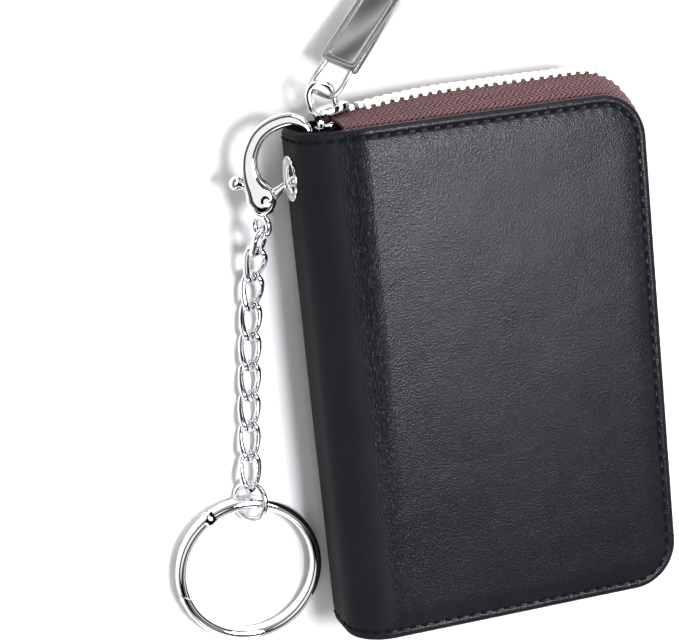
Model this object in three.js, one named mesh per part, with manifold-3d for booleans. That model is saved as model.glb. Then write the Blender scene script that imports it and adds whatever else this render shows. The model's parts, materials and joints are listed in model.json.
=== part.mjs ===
// Zip-around accordion card wallet with a key chain, lying shut on its back cover.
// Millimetres. +Z is up through the thickness, +Y points to the edge where the zip slider
// parks and +X to the mouth side. The spine is on the -X side. The origin is the middle of
// the back cover's outer face.

import * as THREE from 'three';
import { mergeVertices } from 'three/addons/utils/BufferGeometryUtils.js';
import Module from 'manifold-3d';

const wasm = await Module();
wasm.setup();

// Overall sizes of the shut wallet
const walletHeight = 110;
const walletWidth = 75;
const walletThickness = 26;
const cornerRadius = 10;
const foldRadius = 9;

// Covers, counted from the outer face inwards
const leatherThickness = 1;
const turnedEdgeDepth = 2.2;
const turnedEdgeWidth = 1.2;
const leatherEdgeRound = 0.45;
const boardClearance = 0.15;
const liningThickness = 0.4;
const liningInset = 2.7;
const glueGap = 0.1;
const foldGap = 0.3;

// Spine
const spineHemLength = 4.4;
const spineHemThickness = 2;

// Accordion of card pockets
const pocketCount = 14;
const leafThickness = 0.4;
const leafEndSetback = 11;
const leafDepth = 54.5;
const gussetReach = 8;
const gussetThickness = 0.25;
const gussetCrotch = 1.2;
const pleatGap = 0.3;
const panelThickness = 0.3;
const panelSlack = 0.85;
const rootSetback = 2.1;

// Slip pocket on the back cover's inside
const slipPocketThickness = 0.6;
const slipPocketEndSetback = 12;
const slipPocketDepth = 51;
const slipPocketSetback = 1.5;
const slipPocketMitre = 5;

// Zip
const zipRidge = 4;
const zipEndDip = 2.4;
const zipDipLength = 28;
const tapeThickness = 0.7;
const tapeSeamWidth = 2.2;
const tapeEndSetback = 0.5;
const beadThickness = 1.9;
const beadLength = 1.2;
const toothPitch = 2.1;
const toothWidth = 0.85;
const toothThickness = 1.5;
const toothLength = 1.9;
const toothEngagement = 0.8;
const toothRoot = 0.3;
const firstToothGap = 0.7;
const stopLength = 2.4;
const stopWall = 0.9;

// Zip slider, its crown and the pull tab
const sliderLength = 7.6;
const sliderWidth = 6.6;
const sliderPlate = 1;
const sliderClearance = 0.35;
const sliderSetback = 0.9;
const sliderPostLength = 1.9;
const sliderPostWidth = 1.5;
const crownWire = 1.6;
const crownSpan = 5.3;
const crownHeight = 5.2;
const crownOffset = 1;
const pullHang = 2.2;
const pullWire = 1.2;
const pullFrameLength = 7.2;
const pullFrameFoot = 5.4;
const pullPlateLength = 19;
const pullPlateWidth = 8.6;
const pullPlateThickness = 2;
const pullPanelInset = 1.3;
const pullPanelRecess = 0.35;
const pullCornerRadius = 0.8;
const pullHeading = 47;
const pullRoll = 42;
const pullDip = 10;

// Eyelet in the spine
const eyeletHemGap = 0.75;
const eyeletHoleRadius = 2.9;
const eyeletBarrelWall = 0.4;
const eyeletFlangeRadius = 4.85;
const eyeletFlangeThickness = 0.8;
const eyeletClearance = 0.25;
const washerThickness = 0.5;

// Lobster clasp
const claspLength = 25;
const claspThickness = 3.4;
const claspSlot = 1.9;
const claspTilt = 14;
const hookWidth = 3.2;
const hookTipWidth = 2.3;
const hookDepth = 2.6;
const hookReachShare = 0.492;
const hookEndGap = 0.7;
const claspPinRadius = 0.6;
const claspPinHead = 0.3;
const claspGateThickness = 1.3;
const claspGateWidth = 1.9;
const claspHubRadius = 1.8;
const claspKnobRadius = 1.5;
const claspEyeRadius = 2.1;
const claspEyeWire = 1.4;
const pinClearance = 0.15;
const tipGap = 0.5;

// Chain between the clasp and the key ring
const linkCount = 8;
const linkPitch = 6.7;
const linkWidth = 5.2;
const linkWire = 1.35;
const linkTwist = 45;
const linkPlay = 0.3;
const ovalPitch = 6;
const ovalWidth = 5.4;
const ovalWire = 1.25;
const chainHeading = 7.3;
const jumpRingRadius = 4.05;
const jumpRingWire = 1.3;
const jumpRingTilt = 50;

// Spring-gate key ring
const keyRingRadius = 16.5;
const keyRingRadial = 2.5;
const keyRingAxial = 3.8;
const keyRingEdge = 0.75;
const keyRingSeat = 0.4;
const gatePivotAngle = 128;
const gateEndAngle = 200;
const gateSeamAngle = 42;
const keyTongue = 1.2;
const keyPinRadius = 0.75;
const keyPinHeadRadius = 1.15;
const keyPinHead = 0.5;
const hingePlay = 0.3;

// One overrun for every cut, and the height under which a face counts as a sliver
const overrun = 2;
const sliverHeight = 0.003;
const sliverPasses = 6;

// Sizes that follow from the ones above
const halfWidth = walletWidth / 2;
const halfHeight = walletHeight / 2;
const midPlane = walletThickness / 2;
const foldX = -halfWidth + foldRadius;
const rootX = foldX - rootSetback;
const liningDepth = turnedEdgeDepth + glueGap;
const coverDepth = liningDepth + liningThickness;
const backPanelMid = coverDepth + glueGap + panelThickness / 2;
const frontPanelMid = walletThickness - coverDepth - panelSlack - panelThickness / 2;
const leafPitch = (frontPanelMid - backPanelMid) / pocketCount;
const leafLength = walletHeight - 2 * leafEndSetback;
const slipPocketLength = walletHeight - 2 * slipPocketEndSetback;
const slipPocketBottom = backPanelMid + panelThickness / 2 + glueGap;
const spineX = -halfWidth;
const eyeletSetback = spineHemLength + eyeletFlangeRadius + eyeletHemGap;
const hookReach = eyeletSetback + hookWidth / 2 + hookEndGap;
const eyeletY = halfHeight - eyeletSetback;
const beadEndDepth = midPlane + toothEngagement - toothLength;
const tapeEndX = foldX + tapeEndSetback;
const sliderX = foldX + sliderSetback;
const firstToothX = sliderX + sliderLength / 2 + firstToothGap;

// Colours read off the object
const look = {
  leather: { color: 0x17181d, roughness: 0.42, metalness: 0 },
  board: { color: 0x9a8f80, roughness: 0.95, metalness: 0 },
  twill: { color: 0x5a3424, roughness: 0.85, metalness: 0 },
  tape: { color: 0x4a2226, roughness: 0.8, metalness: 0 },
  chrome: { color: 0xd8dadc, roughness: 0.12, metalness: 1 },
  nickel: { color: 0xc9c4bc, roughness: 0.25, metalness: 1 },
};

const wallet = new THREE.Group();

function addMesh(parent, name, geometry, finish) {
  const mesh = new THREE.Mesh(geometry, new THREE.MeshStandardMaterial(finish));
  mesh.name = name;
  parent.add(mesh);
  return mesh;
}

function radians(degrees) {
  return THREE.MathUtils.degToRad(degrees);
}

// Solids and their joins and cuts

function toSolid(geometry) {
  const plain = geometry.clone();
  plain.deleteAttribute('normal');
  plain.deleteAttribute('uv');
  const merged = mergeVertices(plain);
  const vertProperties = new Float32Array(merged.attributes.position.array);
  const triVerts = new Uint32Array(merged.index.array);
  return new wasm.Manifold(new wasm.Mesh({ numProp: 3, vertProperties, triVerts }));
}

// A face's height over its longest edge, and its corners with the one off that edge second
function measureFace(face, positions) {
  const corners = face.map((i) => new THREE.Vector3().fromArray(positions, 3 * i));
  const lengths = corners.map((corner, k) => corner.distanceTo(corners[(k + 1) % 3]));
  const longest = lengths.indexOf(Math.max(...lengths));
  const [a, b, c] = corners;
  const height = b.clone().sub(a).cross(c.clone().sub(a)).length() / lengths[longest];
  return { height, corners: [1, 2, 3].map((k) => face[(longest + k) % 3]) };
}

// A face whose corners lie in one line swaps its long edge with the face beyond it
function withoutSlivers(faces, positions) {
  const owner = new Map();
  const claim = (t) => faces[t].forEach((from, k) => owner.set(`${from}/${faces[t][(k + 1) % 3]}`, t));
  faces.forEach((face, t) => claim(t));
  for (let pass = 0; pass < sliverPasses; pass++) {
    faces.forEach((face, t) => {
      const { height, corners: [a, b, c] } = measureFace(face, positions);
      const beyond = owner.get(`${a}/${c}`);
      const d = faces[beyond].find((corner) => corner !== a && corner !== c);
      const pair = [[a, b, d], [b, c, d]];
      const gained = Math.min(...pair.map((each) => measureFace(each, positions).height));
      if (height < sliverHeight && gained > height) {
        [faces[t], faces[beyond]] = pair;
        claim(t);
        claim(beyond);
      }
    });
  }
  return faces.flat();
}

function toGeometry(solid) {
  const mesh = solid.getMesh();
  const faces = [];
  for (let i = 0; i < mesh.triVerts.length; i += 3) {
    faces.push([...mesh.triVerts.slice(i, i + 3)]);
  }
  const geometry = new THREE.BufferGeometry();
  geometry.setAttribute('position', new THREE.BufferAttribute(mesh.vertProperties, 3));
  geometry.setIndex(withoutSlivers(faces, mesh.vertProperties));
  geometry.computeVertexNormals();
  return geometry;
}

function joined(geometries) {
  return toGeometry(geometries.map(toSolid).reduce((sum, next) => sum.add(next)));
}

function cutAway(geometry, tools) {
  return toGeometry(tools.map(toSolid).reduce((rest, tool) => rest.subtract(tool), toSolid(geometry)));
}

function signedVolume(positions, index) {
  const a = new THREE.Vector3();
  const b = new THREE.Vector3();
  const c = new THREE.Vector3();
  let sum = 0;
  for (let i = 0; i < index.length; i += 3) {
    a.fromArray(positions, 3 * index[i]);
    b.fromArray(positions, 3 * index[i + 1]);
    c.fromArray(positions, 3 * index[i + 2]);
    sum += a.dot(b.cross(c)) / 6;
  }
  return sum;
}

// A closed solid through a row of equal rings of points, with a flat cap at each end
function loftRings(rings, capContour) {
  const size = rings[0].length;
  const positions = rings.flat().flatMap((point) => point.toArray());
  const index = [];
  for (let r = 0; r + 1 < rings.length; r++) {
    for (let i = 0; i < size; i++) {
      const here = r * size + i;
      const next = r * size + ((i + 1) % size);
      index.push(here, next, here + size);
      index.push(next, next + size, here + size);
    }
  }
  const last = (rings.length - 1) * size;
  const clockwise = THREE.ShapeUtils.isClockWise(capContour);
  for (const face of THREE.ShapeUtils.triangulateShape(capContour, [])) {
    const [a, b, c] = clockwise ? face.reverse() : face;
    index.push(c, b, a);
    index.push(last + a, last + b, last + c);
  }
  if (signedVolume(positions, index) < 0) {
    index.reverse();
  }
  const geometry = new THREE.BufferGeometry();
  geometry.setAttribute('position', new THREE.Float32BufferAttribute(positions, 3));
  geometry.setIndex(index);
  geometry.computeVertexNormals();
  return geometry;
}

function extrudeFlat(shape, depth, from = 0, curveSegments = 8) {
  const geometry = new THREE.ExtrudeGeometry(shape, { depth, bevelEnabled: false, curveSegments });
  return geometry.translate(0, 0, from);
}

// Turns a shape drawn as (Y, Z) and pulled along Z into one that is pulled along X
const alongX = new THREE.Matrix4().makeBasis(
  new THREE.Vector3(0, 1, 0),
  new THREE.Vector3(0, 0, 1),
  new THREE.Vector3(1, 0, 0),
);

// Turns a shape drawn as (Z, X) and pulled along Z into one that is pulled along Y
const alongY = new THREE.Matrix4().makeBasis(
  new THREE.Vector3(0, 0, 1),
  new THREE.Vector3(1, 0, 0),
  new THREE.Vector3(0, 1, 0),
);

function shapeOf(points) {
  return new THREE.Shape(points.map(([x, y]) => new THREE.Vector2(x, y)));
}

// A cylinder along a direction, centred on a point
function rod(radius, length, sides, direction, centre) {
  const turn = new THREE.Quaternion().setFromUnitVectors(new THREE.Vector3(0, 1, 0), direction);
  const geometry = new THREE.CylinderGeometry(radius, radius, length, sides);
  return geometry.applyQuaternion(turn).translate(centre.x, centre.y, centre.z);
}

// Covers. A cover is drawn with its outer face at depth 0 and the inside at greater depth,
// which is where the back cover lies. The front cover is the same turned over about X.

function coverOutline(inset, foldInset) {
  const shape = new THREE.Shape();
  const left = foldX + foldInset;
  const right = halfWidth - inset;
  const top = halfHeight - inset;
  const radius = cornerRadius - inset;
  shape.moveTo(left, -top);
  shape.lineTo(right - radius, -top);
  shape.absarc(right - radius, -top + radius, radius, -Math.PI / 2, 0, false);
  shape.absarc(right - radius, top - radius, radius, 0, Math.PI / 2, false);
  shape.lineTo(left, top);
  shape.closePath();
  return shape;
}

function coverLeather() {
  const round = leatherEdgeRound;
  const shell = new THREE.ExtrudeGeometry(coverOutline(round, foldGap + round), {
    depth: turnedEdgeDepth - 2 * round,
    bevelThickness: round,
    bevelSize: round,
    bevelSegments: 2,
    curveSegments: 8,
  }).translate(0, 0, round);
  const hollow = coverOutline(turnedEdgeWidth, foldGap + turnedEdgeWidth);
  return cutAway(shell, [extrudeFlat(hollow, turnedEdgeDepth, leatherThickness)]);
}

function coverBoard() {
  const inset = turnedEdgeWidth + boardClearance;
  const outline = coverOutline(inset, foldGap + inset);
  const depth = turnedEdgeDepth - leatherThickness - boardClearance;
  return extrudeFlat(outline, depth - boardClearance, leatherThickness + boardClearance);
}

function coverLining() {
  return extrudeFlat(coverOutline(liningInset, foldGap), liningThickness, liningDepth);
}

// Spine: a strip of leather bent round two soft corners, with a hem turned in at each end

function spineBand(inset, wall, length) {
  const outer = foldRadius - inset;
  const inner = outer - wall;
  const shape = new THREE.Shape();
  const low = foldRadius;
  const high = walletThickness - foldRadius;
  shape.absarc(low, foldX, outer, Math.PI, 1.5 * Math.PI, false);
  shape.absarc(high, foldX, outer, 1.5 * Math.PI, 2 * Math.PI, false);
  shape.absarc(high, foldX, inner, 2 * Math.PI, 1.5 * Math.PI, true);
  shape.absarc(low, foldX, inner, 1.5 * Math.PI, Math.PI, true);
  shape.closePath();
  return extrudeFlat(shape, length, -length / 2).applyMatrix4(alongY);
}

function eyeletHole(radius) {
  const length = 2 * foldRadius;
  return rod(radius, length, 20, new THREE.Vector3(1, 0, 0), new THREE.Vector3(spineX, eyeletY, midPlane));
}

function spineLeather() {
  const hem = (side) => {
    const band = spineBand(0, spineHemThickness, spineHemLength);
    return band.translate(0, side * (halfHeight - spineHemLength / 2), 0);
  };
  const strip = joined([spineBand(0, leatherThickness, walletHeight), hem(1), hem(-1)]);
  return cutAway(strip, [eyeletHole(eyeletHoleRadius + eyeletBarrelWall + eyeletClearance)]);
}

function spineLining() {
  const length = walletHeight - 2 * (spineHemLength + glueGap);
  const strip = spineBand(leatherThickness + glueGap, liningThickness, length);
  return cutAway(strip, [eyeletHole(eyeletHoleRadius + eyeletBarrelWall + eyeletClearance)]);
}

// Eyelet: a flanged barrel through the spine, clenched over a washer on the inside

function eyelet() {
  const flangeFoot = -eyeletClearance;
  const barrelEnd = leatherThickness + glueGap + liningThickness + eyeletClearance + washerThickness;
  const outer = eyeletHoleRadius + eyeletBarrelWall;
  const crest = (outer + eyeletFlangeRadius) / 2;
  const profile = [
    [eyeletHoleRadius, barrelEnd],
    [eyeletHoleRadius, flangeFoot - eyeletFlangeThickness / 2],
    [crest, flangeFoot - eyeletFlangeThickness],
    [eyeletFlangeRadius, flangeFoot - eyeletFlangeThickness / 4],
    [eyeletFlangeRadius, flangeFoot],
    [outer, flangeFoot],
    [outer, barrelEnd],
    [eyeletHoleRadius, barrelEnd],
  ];
  const lathe = new THREE.LatheGeometry(profile.map(([r, x]) => new THREE.Vector2(r, x)), 28);
  return lathe.rotateZ(-Math.PI / 2).translate(spineX, eyeletY, midPlane);
}

function eyeletWasher() {
  const inner = eyeletHoleRadius + eyeletBarrelWall + eyeletClearance;
  const near = leatherThickness + glueGap + liningThickness + glueGap;
  const profile = [
    [inner, near],
    [eyeletFlangeRadius, near],
    [eyeletFlangeRadius, near + washerThickness / 2],
    [inner, near + washerThickness],
    [inner, near],
  ];
  const lathe = new THREE.LatheGeometry(profile.map(([r, x]) => new THREE.Vector2(r, x)), 28);
  return lathe.rotateZ(-Math.PI / 2).translate(spineX, eyeletY, midPlane);
}

// Accordion. Every leaf is a flat divider whose two ends fork into half pleats. Two facing
// half pleats make the outward gusset that closes the end of a pocket.

function leafGeometry(thickness, pleatUp, pleatDown, depth) {
  const half = thickness / 2;
  const end = leafLength / 2;
  const tip = end + gussetReach;
  const crotch = end + gussetCrotch;
  const rise = (leafPitch - pleatGap) / 2;
  const pleat = (side, up) => [
    [side * end, up * half],
    [side * tip, up * rise],
    [side * tip, up * (rise - gussetThickness)],
  ];
  const rightEnd = [
    ...(pleatDown ? pleat(1, -1) : [[end, -half]]),
    [crotch, pleatUp && pleatDown ? 0 : -half * Math.sign(pleatUp - pleatDown)],
    ...(pleatUp ? pleat(1, 1).reverse() : [[end, half]]),
  ];
  const leftEnd = rightEnd.map(([y, z]) => [-y, z]).reverse();
  const outline = shapeOf([...rightEnd, ...leftEnd]);
  return extrudeFlat(outline, depth).applyMatrix4(alongX).translate(rootX, 0, 0);
}

function slipPocket() {
  const root = foldX + slipPocketSetback;
  const mouth = root + slipPocketDepth;
  const half = slipPocketLength / 2;
  const outline = shapeOf([
    [root, -half + slipPocketMitre],
    [root + slipPocketMitre, -half],
    [mouth, -half],
    [mouth, half],
    [root + slipPocketMitre, half],
    [root, half - slipPocketMitre],
  ]);
  return extrudeFlat(outline, slipPocketThickness, slipPocketBottom);
}

// Zip. Its path runs from the spine round three edges of the cover and back to the spine.
// The ridge of teeth stands outside the leather and dips towards it at both ends.

const zipStraight = halfWidth - cornerRadius - tapeEndX;
const zipArc = (Math.PI / 2) * (cornerRadius + zipRidge);
const zipTotal = 2 * (zipStraight + zipArc) + walletHeight - 2 * cornerRadius;

function zipPlace(distance) {
  const flip = distance > zipTotal / 2 ? -1 : 1;
  const along = flip < 0 ? zipTotal - distance : distance;
  const turn = THREE.MathUtils.clamp((along - zipStraight) / zipArc, 0, 1) * (Math.PI / 2);
  const before = Math.min(along - zipStraight, 0);
  const after = Math.max(along - zipStraight - zipArc, 0);
  const nx = Math.sin(turn);
  const ny = Math.cos(turn);
  const short = Math.max(1 - along / zipDipLength, 0);
  return {
    x: halfWidth - cornerRadius + cornerRadius * nx + before,
    y: flip * (halfHeight - cornerRadius + cornerRadius * ny - after),
    nx,
    ny: flip * ny,
    ridge: zipRidge - zipEndDip * short * short,
    slope: flip * Math.atan((2 * zipEndDip * short) / zipDipLength),
  };
}

function zipPoint(place, outward, depth) {
  return new THREE.Vector3(place.x + place.nx * outward, place.y + place.ny * outward, depth);
}

// The tape leaves the cover's edge, bulges outwards and ends in the bead that holds the teeth
function tapeSection(ridge) {
  const seamDepth = turnedEdgeDepth + glueGap + tapeThickness / 2;
  const beadStart = beadEndDepth - beadLength;
  const middle = [{ out: -tapeSeamWidth, depth: seamDepth, tilt: 0 }];
  const steps = 4;
  for (let i = 0; i <= steps; i++) {
    const turn = (i / steps) * (Math.PI / 2);
    middle.push({
      out: ridge * Math.sin(turn),
      depth: seamDepth + (beadStart - seamDepth) * (1 - Math.cos(turn)),
      tilt: turn,
    });
  }
  const side = (sign) => middle.map(({ out, depth, tilt }) => [
    out + (sign * Math.sin(tilt) * tapeThickness) / 2,
    depth - (sign * Math.cos(tilt) * tapeThickness) / 2,
  ]);
  const bead = (sign) => [
    [ridge + (sign * beadThickness) / 2, beadStart + beadLength / 3],
    [ridge + (sign * beadThickness) / 2, beadEndDepth],
  ];
  return [...side(1), ...bead(1), ...bead(-1).reverse(), ...side(-1).reverse()];
}

function tapeMarks() {
  const dipSteps = 4;
  const cornerSteps = 6;
  const marks = [];
  for (let i = 0; i <= dipSteps; i++) {
    marks.push((zipDipLength * i) / dipSteps);
  }
  for (let i = 0; i <= cornerSteps; i++) {
    marks.push(zipStraight + (zipArc * i) / cornerSteps);
  }
  return [...marks, ...marks.map((mark) => zipTotal - mark).reverse()];
}

function zipTooth(place) {
  const length = toothLength + toothRoot;
  const tooth = new THREE.BoxGeometry(toothWidth, toothThickness, length);
  const turn = Math.atan2(place.ny, place.nx) - Math.PI / 2 + place.slope;
  const centre = zipPoint(place, place.ridge, beadEndDepth - toothRoot + length / 2);
  return tooth.rotateZ(turn).translate(centre.x, centre.y, centre.z);
}

// The front half's teeth sit between the back half's, and its path runs the other way
function stringer(front) {
  const rings = tapeMarks().map((mark) => {
    const place = zipPlace(mark);
    return tapeSection(place.ridge).map(([out, depth]) => zipPoint(place, out, depth));
  });
  const cap = tapeSection(zipPlace(0).ridge).map(([out, depth]) => new THREE.Vector2(out, depth));
  const start = firstToothX - tapeEndX;
  const toothCount = Math.floor((zipTotal - 2 * start) / toothPitch);
  const pieces = [loftRings(rings, cap)];
  for (let i = 0; i < toothCount; i++) {
    const along = start + i * toothPitch;
    pieces.push(zipTooth(zipPlace(front ? zipTotal - along - toothPitch / 2 : along)));
  }
  return joined(pieces);
}

// The stop clamps both beads together at the far end of the zip: an H across the two rows
function zipStop() {
  const inner = beadThickness / 2 + pinClearance;
  const outer = inner + stopWall;
  const half = midPlane - beadEndDepth + beadLength / 2;
  const web = midPlane - beadEndDepth - pinClearance - hingePlay;
  const corner = [[outer, half], [inner, half], [inner, web], [-inner, web], [-inner, half], [-outer, half]];
  const outline = shapeOf([...corner, ...corner.map(([out, depth]) => [-out, -depth])]);
  const place = zipPlace(zipTotal - (firstToothX - tapeEndX - firstToothGap - stopLength / 2));
  const centre = zipPoint(place, place.ridge, midPlane);
  const clip = extrudeFlat(outline, stopLength, -stopLength / 2).applyMatrix4(alongX);
  return clip.rotateZ(place.slope).translate(centre.x, centre.y, centre.z);
}

// Zip slider: two wings joined by a post at the spine end, with a crown on the outer wing

const sliderOutlineShares = [
  [-0.5, 0.26], [-0.34, 0.47], [-0.05, 0.5], [0.3, 0.45], [0.5, 0.34],
];

function sliderWing(side) {
  const half = sliderOutlineShares.map(([x, z]) => [x * sliderLength, z * sliderWidth]);
  const outline = shapeOf([...half, ...half.map(([x, z]) => [x, -z]).reverse()]);
  const channel = beadThickness / 2 + sliderClearance;
  const lip = channel - tapeThickness / 2 - sliderClearance;
  const wing = extrudeFlat(outline, sliderPlate + lip, channel - lip);
  const beads = midPlane - beadEndDepth + beadLength + sliderClearance;
  const groove = new THREE.BoxGeometry(2 * sliderLength, 2 * beads, 2 * lip);
  const ribbed = cutAway(wing, [groove.translate(0, 0, channel - lip)]);
  return side > 0 ? ribbed.rotateX(-Math.PI / 2) : ribbed.rotateX(Math.PI / 2);
}

function sliderPost() {
  const reach = beadThickness + 2 * sliderClearance + sliderPlate;
  const post = new THREE.BoxGeometry(sliderPostLength, reach, sliderPostWidth);
  const start = sliderOutlineShares[0][0] * sliderLength;
  return post.translate(start + sliderPostLength / 2 + sliderClearance, 0, 0);
}

function crownArch() {
  const radius = crownSpan / 2;
  const foot = beadThickness / 2 + sliderClearance + sliderPlate / 2;
  const top = foot + sliderPlate / 2 + crownHeight;
  const points = [new THREE.Vector3(-radius, foot, 0)];
  const steps = 8;
  for (let i = 0; i <= steps; i++) {
    const turn = Math.PI * (1 - i / steps);
    points.push(new THREE.Vector3(radius * Math.cos(turn), top - radius * (1 - Math.sin(turn)), 0));
  }
  points.push(new THREE.Vector3(radius, foot, 0));
  return bentRod(points, crownWire / 2, 14).translate(-crownOffset, 0, 0);
}

// A round rod along a smooth open path through the given points
function bentRod(points, radius, steps) {
  const path = new THREE.CatmullRomCurve3(points, false, 'centripetal');
  const section = new THREE.Shape();
  section.absarc(0, 0, radius, 0, 2 * Math.PI, false);
  return new THREE.ExtrudeGeometry(section, { steps, extrudePath: path, curveSegments: 3 });
}

function zipSlider() {
  return joined([sliderWing(1), sliderWing(-1), sliderPost(), crownArch()]);
}

// Where the pull tab's foot hangs inside the crown, counted from the slider's middle
function crownContact() {
  const top = beadThickness / 2 + sliderClearance + sliderPlate + crownHeight;
  return new THREE.Vector3(-crownOffset, top - pullHang, 0);
}

// Pull tab: a plate on a wire frame. Its foot lies along Y at the origin, the plate along +X.

function roundedRectangle(x0, x1, halfY, radius) {
  const shape = new THREE.Shape();
  shape.absarc(x1 - radius, halfY - radius, radius, 0, Math.PI / 2, false);
  shape.absarc(x0 + radius, halfY - radius, radius, Math.PI / 2, Math.PI, false);
  shape.absarc(x0 + radius, -halfY + radius, radius, Math.PI, 1.5 * Math.PI, false);
  shape.absarc(x1 - radius, -halfY + radius, radius, 1.5 * Math.PI, 2 * Math.PI, false);
  return shape;
}

function pullTab() {
  const start = pullFrameLength;
  const end = start + pullPlateLength;
  const half = pullPlateWidth / 2;
  const round = pullCornerRadius;
  const outline = roundedRectangle(start, end, half, round);
  const face = pullPlateThickness / 2;
  const plate = extrudeFlat(outline, pullPlateThickness, -face, 2);
  const inset = pullPanelInset;
  const field = roundedRectangle(start + inset, end - inset, half - inset, round);
  const upper = extrudeFlat(field, overrun, face - pullPanelRecess, 2);
  const lower = extrudeFlat(field, overrun, -face + pullPanelRecess - overrun, 2);
  const root = start + pullWire;
  const side = half - pullWire;
  const foot = pullFrameFoot / 2;
  const arm = (sign) => [
    new THREE.Vector3(root, sign * side, 0),
    new THREE.Vector3(start, sign * side, 0),
    new THREE.Vector3(pullWire * 2, sign * (foot + pullWire / 2), 0),
    new THREE.Vector3(pullWire / 3, sign * foot, 0),
  ];
  const middle = new THREE.Vector3(0, 0, 0);
  const frame = bentRod([...arm(-1), middle, ...arm(1).reverse()], pullWire / 2, 20);
  return joined([cutAway(plate, [upper, lower]), frame]);
}

// Lobster clasp. Drawn in its own plane about the point where it passes through the spine:
// +X into the wallet, +Y up the spine. The hook goes over the spine's top edge, down the
// inside and out again through the eyelet, where the sprung gate meets its nose.

const claspPivotShares = [-0.272, -0.16];
const claspEyeShares = [-0.336, -0.372];
const claspKnobShares = [-0.504, 0.008];
const hookPathShares = [
  [-0.384, -0.04], [-0.392, 0.104], [-0.36, 0.256], [-0.276, 0.392], [-0.144, 0.472],
  [0.008, hookReachShare], [0.108, 0.416], [0.134, 0.28], [0.128, 0.136], [0.084, 0.036],
  [0.008, -0.016], [-0.076, -0.036],
];
const claspPlateShares = [
  [-0.448, 0.096], [-0.444, -0.04], [-0.408, -0.168], [-0.392, -0.296], [-0.28, -0.296],
  [-0.208, -0.24], [-0.132, -0.184], [-0.116, -0.148], [-0.136, -0.12], [-0.208, -0.104],
  [-0.288, -0.056], [-0.324, 0.016], [-0.328, 0.096],
];
const claspSlotShares = [
  [-0.504, 0.048], [-0.504, -0.136], [-0.364, -0.176], [-0.324, -0.244], [-0.22, -0.244],
  [-0.088, -0.2], [-0.088, -0.056], [-0.288, 0.024], [-0.336, 0.048],
];

const alongZ = new THREE.Vector3(0, 0, 1);
const middlePoint = new THREE.Vector3(0, 0, 0);

function claspPoint([x, y]) {
  return new THREE.Vector3(x * claspLength, y * claspLength, 0);
}

// The hook's heights follow its reach, so that its top clears the spine's end
function hookPoint([x, y]) {
  return new THREE.Vector3(x * claspLength, (y / hookReachShare) * hookReach, 0);
}

function claspSheet(shares, thickness) {
  const outline = shapeOf(shares.map(([x, y]) => [x * claspLength, y * claspLength]));
  return extrudeFlat(outline, thickness, -thickness / 2);
}

function hookLoft() {
  const path = new THREE.CatmullRomCurve3(hookPathShares.map(hookPoint));
  const steps = 18;
  const sides = 8;
  const circle = [];
  for (let k = 0; k < sides; k++) {
    const turn = (2 * Math.PI * k) / sides;
    circle.push(new THREE.Vector2(Math.cos(turn), Math.sin(turn)));
  }
  const rings = [];
  for (let i = 0; i <= steps; i++) {
    const share = i / steps;
    const centre = path.getPointAt(share);
    const tangent = path.getTangentAt(share);
    const across = new THREE.Vector3(-tangent.y, tangent.x, 0);
    const halfHook = THREE.MathUtils.lerp(hookWidth, hookTipWidth, share) / 2;
    const halfDeep = THREE.MathUtils.lerp(hookDepth, hookTipWidth, share) / 2;
    rings.push(circle.map((point) => centre.clone()
      .addScaledVector(across, halfHook * point.x)
      .addScaledVector(alongZ, halfDeep * point.y)));
  }
  return loftRings(rings, circle);
}

function claspBody() {
  const eye = new THREE.TorusGeometry(claspEyeRadius, claspEyeWire / 2, 8, 16);
  eye.rotateY(radians(-linkTwist)).translate(...claspPoint(claspEyeShares));
  const plate = claspSheet(claspPlateShares, claspThickness);
  const slot = claspSheet(claspSlotShares, claspSlot);
  const pivot = claspPoint(claspPivotShares);
  const hole = rod(claspPinRadius + pinClearance, claspThickness + overrun, 12, alongZ, pivot);
  return cutAway(joined([plate, hookLoft(), eye]), [slot, hole]);
}

// A straight bar from the clasp's pivot towards a point, drawn about the pivot
function gateArm(target, shorten, endWidth) {
  const reach = target.clone().sub(claspPoint(claspPivotShares));
  const length = reach.length() - shorten;
  const outline = shapeOf([
    [0, -claspGateWidth / 2], [length, -endWidth / 2], [length, endWidth / 2], [0, claspGateWidth / 2],
  ]);
  const arm = extrudeFlat(outline, claspGateThickness, -claspGateThickness / 2);
  return arm.rotateZ(Math.atan2(reach.y, reach.x));
}

function claspGate() {
  const hub = rod(claspHubRadius, claspGateThickness, 16, alongZ, middlePoint);
  const nose = hookPoint(hookPathShares[hookPathShares.length - 1]);
  const gate = gateArm(nose, tipGap, claspGateWidth);
  const lever = gateArm(claspPoint(claspKnobShares), 0, claspGateWidth / 2);
  const knobPlace = claspPoint(claspKnobShares).sub(claspPoint(claspPivotShares));
  const knob = new THREE.SphereGeometry(claspKnobRadius, 10, 8).translate(...knobPlace);
  const hole = rod(claspPinRadius + pinClearance, claspThickness, 12, alongZ, middlePoint);
  return cutAway(joined([hub, gate, lever, knob]), [hole]);
}

// A pin with a low rivet head at each end, along Z
function rivetPin(radius, headRadius, head, grip) {
  const profile = [
    [0, -grip / 2 - head], [headRadius / 2, -grip / 2 - head], [headRadius, -grip / 2],
    [radius, -grip / 2], [radius, grip / 2], [headRadius, grip / 2],
    [headRadius / 2, grip / 2 + head], [0, grip / 2 + head],
  ];
  const lathe = new THREE.LatheGeometry(profile.map(([r, y]) => new THREE.Vector2(r, y)), 12);
  return lathe.rotateX(Math.PI / 2);
}

// Chain. Every link is one closed loop of wire. A curb link's ends are twisted opposite ways
// so that it crosses its neighbours square and the chain still lies flat.

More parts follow.
